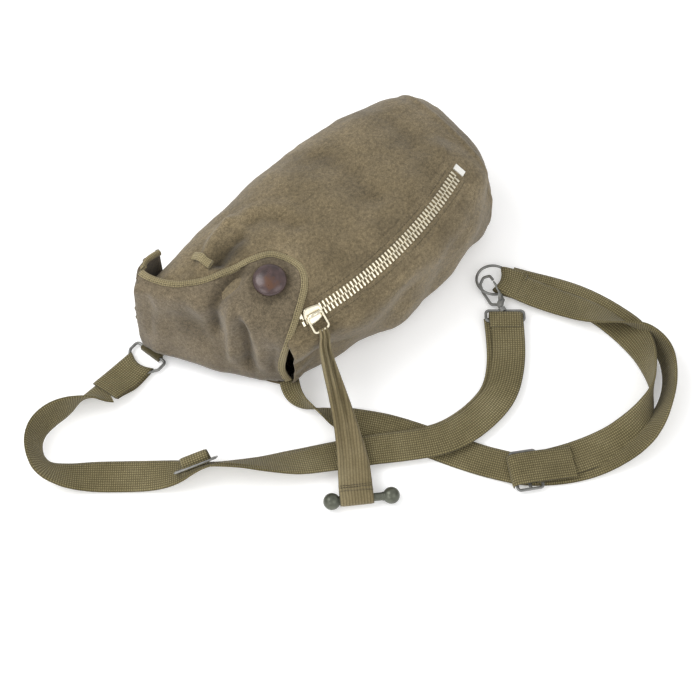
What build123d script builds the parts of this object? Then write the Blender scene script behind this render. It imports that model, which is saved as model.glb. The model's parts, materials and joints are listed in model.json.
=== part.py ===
from build123d import *
import math
import os

# Carrying bag of a smoke escape hood, lying on its side on a flat surface,
# with its carrying straps laid out in front of it and the hood packed inside.
# Frame: +Z up, origin at the centre of the bag's footprint, +X along the bag
# from its mouth to its closed end, -Y towards the side that carries the zip.

os.makedirs("parts", exist_ok=True)

# ---------------------------------------------------------------- dimensions
CLOTH = 1.6            # canvas with its seam allowance
WEB_W = 25.0           # webbing width
WEB_T = 1.8            # webbing thickness
TOP_N = 2.6            # roundness of the bag's upper half
LOW_N = 4.5            # squareness of its lower half
WAIST = 0.46           # height of the widest line, as a share of the height
BELLY = 1.0            # how far the round underside is pressed flat by the surface

# bag stations: x, left edge, right edge, height
STATIONS = [
    (-150.0, 44.0, -36.0, 78.0),
    (-125.0, 53.0, -49.0, 84.0),
    (-95.0, 59.5, -58.0, 89.0),
    (-60.0, 65.5, -64.5, 93.0),
    (-20.0, 72.0, -70.5, 97.0),
    (25.0, 75.0, -75.0, 98.0),
    (62.0, 73.5, -71.8, 97.2),
    (98.0, 71.2, -63.0, 95.0),
    (120.0, 66.5, -54.5, 91.0),
    (133.0, 59.0, -45.0, 85.0),
    (140.5, 49.0, -35.0, 76.0),
    (144.3, 38.0, -26.0, 66.0),
]

# mouth: an upright plane, turned towards the zip side
MOUTH_P = (-109.7, -8.0)
MOUTH_N = (-0.8682, -0.4962)
MOUTH_E = (0.4962, -0.8682)

# zip: a circular arc in a slightly tilted plane
ZIP_M = (-64.0, -54.0, 77.0)     # mouth end of the chain
ZIP_E = (102.0, -38.0, 89.5)     # closed end of the chain
ZIP_SAG = 11.0
ZIP_TILT = 36.0                  # slope of the tape across the shoulder
TOOTH_PITCH = 3.2
SLIDER_L = 14.0
ZIP_TRAVEL = 23.0                # degrees about the arc's axis

# flap outline seen from above
FLAP_PLAN = [(-190.0, 95.0), (-128.0, 62.0), (-123.0, 44.0), (-114.0, 31.0), (-98.0, 20.0),
             (-70.0, 11.0), (-48.0, 3.0), (-39.0, -9.0), (-39.0, -22.0), (-47.0, -34.5),
             (-63.0, -40.5), (-71.5, -50.0), (-78.0, -60.0), (-79.0, -90.0), (-190.0, -90.0)]
FLAP_BIND = 4.0
FLAP_GAP, FLAP_T = 1.0, 1.6
FLAP_Z0 = 5.6
SNAP_XY = (-66.0, -21.0)
SNAP_D = 25.0

# strap layers above the floor
B_LOW, A_LOW, A_TOP, B_TOP = 0.2, 2.6, 8.8, 7.0

# D-ring
D_Q = (-142.3, 35.3)
D_DIR = (-0.985, -0.1726)
D_Z = 2.9
D_WIRE = 2.4

# ring, hook
RING_C = (100.2, -90.4, 5.3)
RING_R, RING_WIRE = 13.4, 2.2
EYE_C = (83.6, -120.5, 6.0)
EYE_DIR = (0.755, -0.656)
HOOK_O = (85.8, -115.2, 6.0)
HOOK_U = (0.30, 0.954)
HOOK_ROLL = 35.0

# toggle
TOG_C = (-105.6, -162.3, 6.35)
TOG_DIR = (0.8246, -0.5657, 0.0)
TOG_HALF, TOG_BALL, TOG_BAR = 21.8, 12.5, 6.0


# ------------------------------------------------------------------- helpers
def unit(v):
    m = math.sqrt(sum(c * c for c in v))
    return tuple(c / m for c in v)


def cross(a, b):
    return (a[1] * b[2] - a[2] * b[1], a[2] * b[0] - a[0] * b[2], a[0] * b[1] - a[1] * b[0])


def add3(a, b, k=1.0):
    return tuple(a[i] + k * b[i] for i in range(3))


def lerp_station(x):
    """Edges and height of the bag at x, by straight interpolation."""
    for (a, b) in zip(STATIONS, STATIONS[1:]):
        if a[0] <= x <= b[0]:
            t = (x - a[0]) / (b[0] - a[0])
            return tuple(a[i] + t * (b[i] - a[i]) for i in (1, 2, 3))
    raise ValueError(x)


def top_z(x, y):
    yl, yr, h = lerp_station(x)
    a, c, zc = (yl - yr) / 2, (yl + yr) / 2, WAIST * h
    u = min(0.999, abs(y - c) / a)
    return zc + (h - zc) * (1 - u ** TOP_N) ** (1 / TOP_N)


def section_points(st, grow, count=32):
    """Closed outline of one bag station, grown or shrunk by a wall amount."""
    x, yl, yr, h = st
    a, c, zc = (yl - yr) / 2 + grow, (yl + yr) / 2, WAIST * h
    pts = []
    for i in range(count):
        t = 2 * math.pi * (i + 0.5) / count
        cs, sn = math.cos(t), math.sin(t)
        n = TOP_N if sn > 0 else LOW_N
        b = (h - zc + grow) if sn > 0 else (zc + grow if grow < 0 else zc + BELLY)
        pts.append((c + a * math.copysign(abs(cs) ** (2 / n), cs),
                    zc + b * math.copysign(abs(sn) ** (2 / n), sn)))
    return pts


def station_plane(x):
    return Plane(origin=(x, 0, 0), x_dir=(0, 1, 0), z_dir=(1, 0, 0))


def bag_form(grow, end_shift=0.0):
    """Solid bag body, its walls moved outwards by grow."""
    with BuildPart() as form:
        for i, st in enumerate(STATIONS):
            x = st[0]
            if i >= len(STATIONS) - 2:
                x += grow + end_shift
            with BuildSketch(station_plane(x)):
                with BuildLine():
                    Spline(*section_points(st, grow), periodic=True)
                make_face()
        loft()
        split(bisect_by=Plane.XY, keep=Keep.TOP)
    return form


def corner_radii(pts):
    """Largest tangent arc at each corner of a route: 0.45 of its shorter run."""
    radii = []
    for a, b, c in zip(pts, pts[1:], pts[2:]):
        v1 = (b[0] - a[0], b[1] - a[1])
        v2 = (c[0] - b[0], c[1] - b[1])
        l1, l2 = math.hypot(*v1), math.hypot(*v2)
        dot = (v1[0] * v2[0] + v1[1] * v2[1]) / (l1 * l2)
        turn = math.acos(max(-1.0, min(1.0, dot)))
        radii.append(0.45 * min(l1, l2) / math.tan(turn / 2))
    return radii


def webbing(label, pts, z, width=WEB_W, thick=WEB_T):
    """Flat strip of webbing along a level route, at height z."""
    radii = corner_radii(pts)
    with BuildPart() as strip:
        with BuildLine(Plane.XY.offset(z + thick / 2)) as route:
            FilletPolyline(*pts, radius=radii)
        start = route.line @ 0
        way = route.line % 0
        with BuildSketch(Plane(origin=start, x_dir=(-way.Y, way.X, 0), z_dir=way)):
            Rectangle(width, thick)
        sweep(path=route.line)
    length = sum(e.length for e in route.line.edges())
    print("%-18s length %.1f mm, radii %s" % (label, length, " ".join("%.0f" % r for r in radii)))
    print("%-18s volume %.0f, section x length %.0f" % (label, strip.part.volume, width * thick * length))
    strip.part.label = label
    return strip


def save(builder, label):
    builder.part.label = label
    export_step(builder.part, "parts/%s.step" % label)


# ------------------------------------------------------------ bag and its skin
outer_form = bag_form(0.0)
inner_form = bag_form(-CLOTH)
flap_in_form = bag_form(FLAP_GAP)
flap_out_form = bag_form(FLAP_GAP + FLAP_T)

mouth_plane = Plane(origin=(MOUTH_P[0], MOUTH_P[1], 0), x_dir=(MOUTH_E[0], MOUTH_E[1], 0),
                    z_dir=(MOUTH_N[0], MOUTH_N[1], 0))

# zip frame: e1 along the chord, e3 along the arc's axis, e2 towards its centre
e1 = unit(add3(ZIP_E, ZIP_M, -1))
e3 = unit(add3((0, 0, 1), e1, -e1[2]))
e2 = cross(e3, e1)
half_chord = math.dist(ZIP_M, ZIP_E) / 2
ZIP_R = (half_chord ** 2 + ZIP_SAG ** 2) / (2 * ZIP_SAG)
mid = tuple((ZIP_M[i] + ZIP_E[i]) / 2 for i in range(3))
ZIP_C = add3(mid, e2, ZIP_R - ZIP_SAG)
ALPHA0 = -math.degrees(math.asin(half_chord / ZIP_R))
ALPHA1 = -ALPHA0
zip_axis = Axis(ZIP_C, e3)
print("zip arc centre %.3f %.3f %.3f axis %.5f %.5f %.5f radius %.2f from %.3f to %.3f deg" % (
    *ZIP_C, *e3, ZIP_R, ALPHA0, ALPHA1))


def radial(alpha):
    a = math.radians(alpha)
    return tuple(e1[i] * math.sin(a) - e2[i] * math.cos(a) for i in range(3))


def tangent(alpha):
    a = math.radians(alpha)
    return tuple(e1[i] * math.cos(a) + e2[i] * math.sin(a) for i in range(3))


def across(alpha):
    """Direction across the tape, from the bag's top down the shoulder."""
    b = math.radians(ZIP_TILT)
    r = radial(alpha)
    return tuple(r[i] * math.cos(b) - e3[i] * math.sin(b) for i in range(3))


def lift(alpha):
    """Outward normal of the tape."""
    b = math.radians(ZIP_TILT)
    r = radial(alpha)
    return tuple(r[i] * math.sin(b) + e3[i] * math.cos(b) for i in range(3))


def zip_point(alpha, w=0.0, n=0.0):
    r, a, l = radial(alpha), across(alpha), lift(alpha)
    return tuple(ZIP_C[i] + ZIP_R * r[i] + w * a[i] + n * l[i] for i in range(3))


def zip_section(alpha):
    """Plane square to the chain: local X across the tape, local Y outwards."""
    t = tangent(alpha)
    return Plane(origin=zip_point(alpha), x_dir=across(alpha), z_dir=tuple(-c for c in t))


def zip_strip(w0, w1, n0, n1, alpha0, alpha1):
    """Strip of the zip between two positions, as one turned band."""
    with BuildPart() as band:
        with BuildSketch(zip_section(alpha0)):
            with Locations(((w0 + w1) / 2, (n0 + n1) / 2)):
                Rectangle(abs(w1 - w0), n1 - n0)
        revolve(axis=zip_axis, revolution_arc=alpha1 - alpha0)
    return band


slot_band = zip_strip(-13.4, 13.4, -9.0, 9.0, ALPHA0 - 0.6, ALPHA1 + 0.9)

# snap position on the bag's top
sx, sy = SNAP_XY
sz = top_z(sx, sy)
gx = (top_z(sx + 4, sy) - top_z(sx - 4, sy)) / 8
gy = (top_z(sx, sy + 4) - top_z(sx, sy - 4)) / 8
snap_n = unit((-gx, -gy, 1.0))
snap_plane = Plane(origin=(sx, sy, sz), x_dir=unit((snap_n[2], 0, -snap_n[0])), z_dir=snap_n)
print("snap at %.2f %.2f %.2f normal %.4f %.4f %.4f" % (sx, sy, sz, *snap_n))

with BuildPart() as bag_skin:
    add(outer_form.part)
    add(inner_form.part, mode=Mode.SUBTRACT)
    with BuildSketch(mouth_plane):
        Rectangle(500, 500)
    extrude(amount=200, mode=Mode.SUBTRACT)
    add(slot_band.part, mode=Mode.SUBTRACT)
    with BuildSketch(snap_plane.offset(-6)):
        Circle(3.6)
    extrude(amount=12, mode=Mode.SUBTRACT)

END_X, FLOOR_Z, LEFT_Y, RIGHT_Y = 124.0, 6.0, 42.0, -42.0
end_cut = Plane(origin=(END_X, 0, 0), z_dir=(1, 0, 0))
low_cut = Plane(origin=(0, 0, FLOOR_Z), z_dir=(0, 0, 1))
ROOF_Z = 61.0
with BuildPart() as roof_box:
    with Locations((0, (LEFT_Y + RIGHT_Y) / 2, ROOF_Z + 60)):
        Box(400, LEFT_Y - RIGHT_Y, 120)

with BuildPart() as bag_end_panel:
    add(bag_skin.part)
    split(bisect_by=end_cut, keep=Keep.TOP)
with BuildPart() as bag_wrap:
    add(bag_skin.part)
    split(bisect_by=end_cut, keep=Keep.BOTTOM)
with BuildPart() as bag_bottom:
    add(bag_wrap.part)
    split(bisect_by=low_cut, keep=Keep.BOTTOM)
with BuildPart() as bag_upper:
    add(bag_wrap.part)
    split(bisect_by=low_cut, keep=Keep.TOP)
with BuildPart() as bag_left_side:
    add(bag_upper.part)
    add(roof_box.part, mode=Mode.SUBTRACT)
    split(bisect_by=Plane(origin=(0, 0, 0), z_dir=(0, 1, 0)), keep=Keep.TOP)
with BuildPart() as bag_right_side:
    add(bag_upper.part)
    add(roof_box.part, mode=Mode.SUBTRACT)
    split(bisect_by=Plane(origin=(0, 0, 0), z_dir=(0, 1, 0)), keep=Keep.BOTTOM)
with BuildPart() as bag_top:
    add(bag_upper.part)
    add(roof_box.part, mode=Mode.INTERSECT)
for b, name in ((bag_end_panel, "bag_end_panel"), (bag_bottom, "bag_bottom"),
                (bag_left_side, "bag_left_side"), (bag_right_side, "bag_right_side"), (bag_top, "bag_top")):
    save(b, name)

# ----------------------------------------------------------------- mouth flap
# end wall, wrap over the corner and tongue, all 1 mm outside the bag
with BuildPart() as flap_skin:
    add(flap_out_form.part)
    add(flap_in_form.part, mode=Mode.SUBTRACT)
    with BuildSketch(mouth_plane.offset(FLAP_GAP)):
        Rectangle(500, 500)
    extrude(amount=200, mode=Mode.SUBTRACT)
with BuildPart() as flap_wall:
    with BuildSketch(mouth_plane.offset(FLAP_GAP)):
        Rectangle(400, 400)
    extrude(amount=FLAP_T)
    add(flap_out_form.part, mode=Mode.INTERSECT)
with BuildPart() as flap_whole:
    add(flap_skin.part)
    add(flap_wall.part)
    with BuildSketch(Plane.XY.offset(FLAP_Z0)):
        Polygon(*FLAP_PLAN, align=None)
    extrude(amount=200, mode=Mode.INTERSECT)
    # the wraps over the sides start above the foot, so the flap swings clear of them
    with BuildSketch(mouth_plane.offset(FLAP_GAP - 0.1)):
        with Locations((105.0, 19.0)):
            Rectangle(290, 40.0)
    extrude(amount=-200, mode=Mode.SUBTRACT)
    with BuildSketch(mouth_plane.offset(FLAP_GAP - 0.1)):
        with Locations((-145.0, 31.0)):
            Rectangle(210, 66.0)
    extrude(amount=-200, mode=Mode.SUBTRACT)

with BuildSketch() as inset:
    Polygon(*FLAP_PLAN, align=None)
    offset(amount=-FLAP_BIND, mode=Mode.REPLACE)
with BuildPart() as inset_prism:
    with BuildSketch(Plane.XY.offset(-5)):
        add(inset.sketch)
    extrude(amount=205)
with BuildPart() as mouth_flap:
    add(flap_whole.part)
    add(inset_prism.part, mode=Mode.INTERSECT)
    with BuildSketch(snap_plane.offset(-2)):
        Circle(7.0)
    extrude(amount=14, mode=Mode.SUBTRACT)
save(mouth_flap, "mouth_flap")
with BuildPart() as flap_binding:
    add(flap_whole.part)
    add(inset_prism.part, mode=Mode.SUBTRACT)
save(flap_binding, "flap_binding")

# snap fastener: cap and socket on the flap, stud and washer on the bag
CAP_Z = 3.6
with BuildPart() as snap_socket:
    with BuildSketch(snap_plane.offset(1.3)):
        Circle(6.8)
        Circle(5.4, mode=Mode.SUBTRACT)
    extrude(amount=CAP_Z - 1.3)
save(snap_socket, "snap_socket")
with BuildPart() as snap_cap:
    with BuildSketch(Plane(origin=snap_plane.origin, x_dir=snap_plane.x_dir,
                           z_dir=unit(cross(tuple(snap_plane.x_dir), snap_n)))):
        with BuildLine():
            Polyline((0, CAP_Z), (SNAP_D / 2 - 0.6, CAP_Z), (SNAP_D / 2, CAP_Z + 0.7), (SNAP_D / 2 - 0.7, CAP_Z + 1.9),
                     (SNAP_D / 2 - 3.0, CAP_Z + 3.3), (SNAP_D / 2 - 6.0, CAP_Z + 4.4),
                     (SNAP_D / 2 - 9.0, CAP_Z + 5.0), (0, CAP_Z + 5.2), close=True)
        make_face()
    revolve(axis=Axis(snap_plane.origin, snap_n))
save(snap_cap, "snap_cap")
with BuildPart() as snap_stud:
    with BuildSketch(snap_plane.offset(-3.4)):
        Circle(3.4)
    extrude(amount=5.9)
    with BuildSketch(snap_plane.offset(1.2)):
        Circle(3.8)
    extrude(amount=1.3)
save(snap_stud, "snap_stud")
with BuildPart() as snap_washer:
    with BuildSketch(snap_plane.offset(-3.4)):
        Circle(6.4)
        Circle(3.45, mode=Mode.SUBTRACT)
    extrude(amount=1.0)
save(snap_washer, "snap_washer")

# ------------------------------------------------------------------------ zip
TOOTH_A, TOOTH_B, TOOTH_N = 0.6, 5.0, 1.2
step = math.degrees(TOOTH_PITCH / ZIP_R)
tape_upper = zip_strip(-13.0, -5.1, -0.5, 0.5, ALPHA0 - 0.4, ALPHA1 + 0.5)
save(tape_upper, "zip_tape_upper")
tape_lower = zip_strip(5.1, 13.0, -0.5, 0.5, ALPHA0 - 0.4, ALPHA1 + 0.5)
save(tape_lower, "zip_tape_lower")


def teeth(side, phase):
    with BuildPart() as row:
        a = ALPHA0 + 0.25 + phase * step
        while a < ALPHA1 - 0.2:
            with BuildSketch(zip_section(a)):
                with Locations((side * (TOOTH_A + TOOTH_B) / 2, 0)):
                    Rectangle(TOOTH_B - TOOTH_A, 2 * TOOTH_N)
            extrude(amount=-1.5)
            a += step
    return row


teeth_upper = teeth(-1, 0.0)
save(teeth_upper, "zip_teeth_upper")
teeth_lower = teeth(1, 0.5)
save(teeth_lower, "zip_teeth_lower")

with BuildPart() as zip_end_stop:
    with BuildSketch(zip_section(ALPHA1 + 0.25)):
        with Locations((0, 0.2)):
            Rectangle(9.6, 3.2)
    extrude(amount=-4.5)
save(zip_end_stop, "zip_end_stop")
with BuildPart() as zip_top_stops:
    for s in (-1, 1):
        with BuildSketch(zip_section(ALPHA0 - 0.2)):
            with Locations((s * 3.0, 0)):
                Rectangle(3.6, 2.4)
        extrude(amount=-1.6)
save(zip_top_stops, "zip_top_stops")

# slider: two plates round the chain, joined by a thin web in its centre gap
SL0 = ALPHA0 + 0.35
SL1 = SL0 + math.degrees(SLIDER_L / ZIP_R)
SLM = (SL0 + SL1) / 2
plate_top = zip_strip(-6.4, 6.4, 1.6, 2.9, SL0, SL1)
plate_low = zip_strip(-6.4, 6.4, -2.9, -1.6, SL0, SL1)
plate_web = zip_strip(-0.3, 0.3, -1.8, 1.8, SL0, SL1)
with BuildPart() as zip_slider:
    add(plate_top.part)
    add(plate_low.part)
    add(plate_web.part)
    with BuildSketch(zip_section(SLM - math.degrees(2.0 / ZIP_R))):
        with Locations((0, 4.4)):
            Rectangle(6.4, 3.6)
    extrude(amount=-4.0)
    with BuildSketch(zip_section(SLM - math.degrees(4.0 / ZIP_R))):
        with Locations((0, 4.7)):
            Circle(1.15)
    extrude(amount=-8.0, mode=Mode.SUBTRACT)
save(zip_slider, "zip_slider")

# wire bail through the slider's lug; the pull tape is folded through it
BAIL_N = 4.7
t_m, w_m, n_m = tangent(SLM), across(SLM), lift(SLM)
bail_o = zip_point(SLM, 0.0, BAIL_N)
bail_plane = Plane(origin=bail_o, x_dir=t_m, z_dir=n_m)     # local Y is -across or +across
sgn = 1.0 if sum(tuple(bail_plane.y_dir)[i] * w_m[i] for i in range(3)) > 0 else -1.0
with BuildPart() as slider_bail:
    with BuildLine(bail_plane) as bail_line:
        FilletPolyline((6.0, 0), (6.0, sgn * 13.0), (-6.0, sgn * 13.0), (-6.0, 0), radius=2.2, close=True)
    with BuildSketch(Plane(origin=bail_line.line @ 0, z_dir=bail_line.line % 0)):
        Circle(0.85)
    sweep(path=bail_line.line)
save(slider_bail, "slider_bail")
bail_bar = add3(bail_o, w_m, 13.0)
print("pull lift axis through %.3f %.3f %.3f along %.5f %.5f %.5f" % (*bail_o, *t_m))
print("bail bar at %.2f %.2f %.2f" % bail_bar)

# pull tape: a flat strip from the bail down to the floor, hemmed round the toggle
tq = cross((0, 0, 1), TOG_DIR)          # level, square to the toggle
if tq[1] > 0:
    tq = tuple(-c for c in tq)
tape_path = [
    ((bail_bar[0], bail_bar[1], bail_bar[2] + 1.9), t_m, 9.0),
    ((bail_bar[0] - 1.0, bail_bar[1] - 3.6, bail_bar[2] - 1.6), t_m, 9.5),
    ((-63.0, -76.5, 62.0), (0.83, -0.56, 0.0), 12.0),
    ((-66.5, -86.0, 46.0), TOG_DIR, 15.0),
    ((-69.0, -97.0, 31.0), TOG_DIR, 17.5),
    ((-73.5, -109.5, 20.5), TOG_DIR, 19.0),
    ((-81.0, -124.0, 14.6), TOG_DIR, 21.0),
    ((-90.0, -139.5, 12.9), TOG_DIR, 22.0),
    ((-97.5, -150.5, 12.0), TOG_DIR, 22.0),
    ((TOG_C[0], TOG_C[1], TOG_C[2] + 4.2), TOG_DIR, 22.0),
]
with BuildPart() as pull_tape:
    prev = None
    for i, (p, wdir, width) in enumerate(tape_path):
        a = tape_path[max(i - 1, 0)][0]
        b = tape_path[min(i + 1, len(tape_path) - 1)][0]
        way = unit(add3(b, a, -1))
        side = unit(wdir)
        nrm = unit(cross(way, side))
        side = cross(nrm, way)
        with BuildSketch(Plane(origin=p, x_dir=side, z_dir=way)):
            Rectangle(width, 1.6)
    loft(ruled=True)
    with BuildSketch(Plane(origin=add3(TOG_C, TOG_DIR, -11.0), x_dir=tq, z_dir=TOG_DIR)):
        Circle(4.9)
    extrude(amount=22.0)
    with BuildSketch(Plane(origin=add3(TOG_C, TOG_DIR, -13.0), x_dir=tq, z_dir=TOG_DIR)):
        Circle(3.35)
    extrude(amount=26.0, mode=Mode.SUBTRACT)
save(pull_tape, "pull_tape")
print("pull tape length %.1f" % sum(math.dist(tape_path[i][0], tape_path[i + 1][0]) for i in range(len(tape_path) - 1)))

# toggle: a turned bar with a ball at each end, pushed a little through its hem
TOG_SHIFT = 3.5
tog_o = add3(TOG_C, TOG_DIR, TOG_SHIFT)
with BuildPart() as toggle:
    with BuildSketch(Plane(origin=tog_o, x_dir=TOG_DIR, z_dir=cross(TOG_DIR, (0, 0, 1)))):
        with BuildLine():
            h, rb, rr = TOG_HALF, TOG_BALL / 2, TOG_BAR / 2
            neck = math.sqrt(rb ** 2 - rr ** 2)
            Polyline((-h - rb, 0), (h + rb, 0))
            ThreePointArc((h + rb, 0), (h + rb * 0.2, rb * math.sqrt(1 - 0.04)), (h - neck, rr))
            Line((h - neck, rr), (-h + neck, rr))
            ThreePointArc((-h + neck, rr), (-h - rb * 0.2, rb * math.sqrt(1 - 0.04)), (-h - rb, 0))
        make_face()
    revolve(axis=Axis(tog_o, TOG_DIR))
save(toggle, "toggle")

# --------------------------------------------------------- D-ring at the mouth
d_bar = (-D_DIR[1], D_DIR[0])      # along the straight bar
d_plane = Plane(origin=(D_Q[0], D_Q[1], D_Z), x_dir=(d_bar[0], d_bar[1], 0), z_dir=(0, 0, 1))
dy = 1.0 if (d_plane.y_dir.X * D_DIR[0] + d_plane.y_dir.Y * D_DIR[1]) > 0 else -1.0
with BuildPart() as d_ring:
    with BuildLine(d_plane) as d_line:
        FilletPolyline((14.6, 0), (14.6, dy * 8.5), (8.6, dy * 16.4), (-8.6, dy * 16.4),
                       (-14.6, dy * 8.5), (-14.6, 0), radius=3.0, close=True)
    with BuildSketch(Plane(origin=d_line.line @ 0, z_dir=d_line.line % 0)):
        Circle(D_WIRE / 2)
    sweep(path=d_line.line)
save(d_ring, "d_ring")

with BuildPart() as d_ring_keeper:
    with BuildSketch(d_plane.offset(-2.2)):
        with Locations((0, 0)):
            Rectangle(18.0, 5.4)
    extrude(amount=4.2)
    with BuildSketch(Plane.XY.offset(1.9)):
        q1 = (D_Q[0] + 9 * d_bar[0], D_Q[1] + 9 * d_bar[1])
        q2 = (D_Q[0] - 9 * d_bar[0], D_Q[1] - 9 * d_bar[1])
        Polygon(q1, q2, (q2[0] + 17, q2[1] + 5.0), (q1[0] + 17, q1[1] + 5.0), align=None)
    extrude(amount=1.4)
    with BuildSketch(Plane(origin=(D_Q[0] - 12 * d_bar[0], D_Q[1] - 12 * d_bar[1], D_Z),
                           z_dir=(d_bar[0], d_bar[1], 0))):
        Circle(D_WIRE / 2 + 0.3)
    extrude(amount=24, mode=Mode.SUBTRACT)
save(d_ring_keeper, "d_ring_keeper")


def dpt(s, u):
    """Point s along the D-ring's bar and u towards the strap."""
    return (D_Q[0] + s * d_bar[0] + u * D_DIR[0], D_Q[1] + s * d_bar[1] + u * D_DIR[1])


# sewn end of strap A, folded round the D-ring's bow
with BuildPart() as strap_a_end_loop:
    with BuildSketch(Plane(origin=(*dpt(-8.5, 0), 0), x_dir=(D_DIR[0], D_DIR[1], 0),
                           z_dir=(d_bar[0], d_bar[1], 0))) as loop_side:
        yv = 1.0 if loop_side.workplanes[0].y_dir.Z > 0 else -1.0
        with BuildLine():
            Polyline((12.2, yv * 0.3), (44.0, yv * 0.3), (44.0, yv * 5.6), (12.2, yv * 5.6), close=True)
        make_face()
        with BuildLine():
            Polyline((13.6, yv * 1.5), (21.0, yv * 1.5), (24.0, yv * 2.95), (21.0, yv * 4.4), (13.6, yv * 4.4), close=True)
        make_face(mode=Mode.SUBTRACT)
    extrude(amount=17.0)
save(strap_a_end_loop, "strap_a_end_loop")

# --------------------------------------------------------------- strap A route
ax0 = dpt(0, 48.6)
A_ROUTE = [ax0, (-207.0, 29.0), (-224.0, 34.5), (-241.0, 35.0), (-257.0, 24.5), (-262.0, 5.0),
           (-248.0, -13.0), (-228.0, -29.0), (-204.0, -50.5), (-177.6, -66.5)]
A_RUN = [(-177.6, -66.5), (-155.7, -83.8), (-127.0, -106.0), (-97.3, -123.8), (-64.0, -143.5),
         (-30.0, -164.5), (-4.0, -172.5), (22.0, -171.0), (45.0, -161.5), (64.0, -144.0), (83.1, -121.1)]
strap_a = webbing("strap_a", A_ROUTE + A_RUN[1:], A_LOW)
save(strap_a, "strap_a")
strap_a_return = webbing("strap_a_return", A_RUN, A_TOP)
save(strap_a_return, "strap_a_return")

eye_u = (-EYE_DIR[1], EYE_DIR[0])          # from the strap towards the hook
eye_plane = Plane(origin=EYE_C, x_dir=(EYE_DIR[0], EYE_DIR[1], 0), z_dir=(0, 0, 1))
# fold of strap A inside the hook's eye
fold_c = (EYE_C[0] + 0.2 * eye_u[0], EYE_C[1] + 0.2 * eye_u[1])
with BuildPart() as strap_a_hook_fold:
    with BuildSketch(Plane(origin=(fold_c[0], fold_c[1], A_LOW), x_dir=(EYE_DIR[0], EYE_DIR[1], 0),
                           z_dir=(0, 0, 1))):
        Rectangle(24.0, WEB_T)
    extrude(amount=A_TOP + WEB_T - A_LOW)
save(strap_a_hook_fold, "strap_a_hook_fold")
with BuildPart() as hook_eye:
    with BuildLine(eye_plane) as eye_line:
        FilletPolyline((14.8, -4.6), (14.8, 4.6), (-14.8, 4.6), (-14.8, -4.6), radius=2.6, close=True)
    with BuildSketch(Plane(origin=eye_line.line @ 0, z_dir=eye_line.line % 0)):
        Circle(1.2)
    sweep(path=eye_line.line)
    # boss that holds the hook's swivel shank
    with BuildSketch(Plane(origin=add3((HOOK_O[0], HOOK_O[1], HOOK_O[2]), (*HOOK_U, 0), -2.2),
                           z_dir=(HOOK_U[0], HOOK_U[1], 0))):
        Circle(3.1)
    extrude(amount=3.6)
    with BuildSketch(Plane(origin=add3((HOOK_O[0], HOOK_O[1], HOOK_O[2]), (*HOOK_U, 0), -1.2),
                           z_dir=(HOOK_U[0], HOOK_U[1], 0))):
        Circle(1.75)
    extrude(amount=4.0, mode=Mode.SUBTRACT)
save(hook_eye, "hook_eye")

# snap hook, rolled on its long axis so that the ring passes over its spine and
# under its gate
roll = math.radians(HOOK_ROLL)
h_u = unit((HOOK_U[0], HOOK_U[1], 0))
level_v = unit((HOOK_U[1], -HOOK_U[0], 0))
h_v = tuple(level_v[i] * math.cos(roll) + (0, 0, 1)[i] * math.sin(roll) for i in range(3))
h_n = cross(h_u, h_v)
hook_plane = Plane(origin=HOOK_O, x_dir=h_u, z_dir=h_n)
print("hook axis", h_u, "v", h_v, "n", h_n)
with BuildPart() as hook_body:
    with BuildLine(hook_plane) as hook_line:
        FilletPolyline((-0.9, 0), (5.0, 0), (9.6, -5.6), (22.0, -6.6), (29.5, -5.6), (32.8, -0.4), (30.6, 4.9),
                       (26.2, 5.5), radius=[2.0, 2.6, 6.0, 3.0, 3.0, 2.0])
    with BuildSketch(Plane(origin=hook_line.line @ 0, z_dir=hook_line.line % 0)):
        Circle(1.15)
    sweep(path=hook_line.line)
    # collar that carries the gate
    with BuildSketch(hook_plane.offset(-1.5)):
        Polygon((2.6, -1.6), (6.2, -1.6), (9.2, 2.6), (9.2, 5.0), (6.4, 5.0), (2.6, 1.6), align=None)
    extrude(amount=3.0)
    with BuildSketch(hook_plane.offset(-3.0)):
        with Locations((7.9, 3.7)):
            Circle(0.75)
    extrude(amount=6.0, mode=Mode.SUBTRACT)
save(hook_body, "hook_body")
with BuildPart() as hook_rivet:
    with BuildSketch(hook_plane.offset(-2.9)):
        with Locations((7.9, 3.7)):
            Circle(0.7)
    extrude(amount=5.8)
    for z0 in (-3.5, 2.9):
        with BuildSketch(hook_plane.offset(z0)):
            with Locations((7.9, 3.7)):
                Circle(1.3)
        extrude(amount=0.6)
save(hook_rivet, "hook_rivet")
with BuildPart() as hook_gate:
    # two cheeks outside the collar and a flat leaf up to the nose
    for z0 in (-2.6, 1.7):
        with BuildSketch(hook_plane.offset(z0)):
            Polygon((6.6, 2.6), (9.2, 2.4), (12.6, 4.4), (12.6, 5.6), (7.4, 5.0), align=None)
        extrude(amount=0.9)
    with BuildSketch(hook_plane.offset(-2.6)):
        Polygon((10.6, 4.0), (12.6, 4.4), (12.6, 5.6), (10.6, 5.3), align=None)
    extrude(amount=5.2)
    with BuildSketch(hook_plane.offset(-1.6)):
        Polygon((12.0, 4.6), (24.4, 5.0), (24.4, 5.9), (12.0, 5.5), align=None)
    extrude(amount=3.2)
    with BuildSketch(hook_plane.offset(-4.0)):
        with Locations((7.9, 3.7)):
            Circle(0.78)
    extrude(amount=8.0, mode=Mode.SUBTRACT)
save(hook_gate, "hook_gate")

# round ring
with BuildPart() as strap_ring:
    with BuildSketch(Plane(origin=RING_C, x_dir=(1, 0, 0), z_dir=(0, -1, 0))):
        with Locations((RING_R, 0)):
            Circle(RING_WIRE / 2)
    revolve(axis=Axis(RING_C, (0, 0, 1)))
save(strap_ring, "strap_ring")

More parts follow.
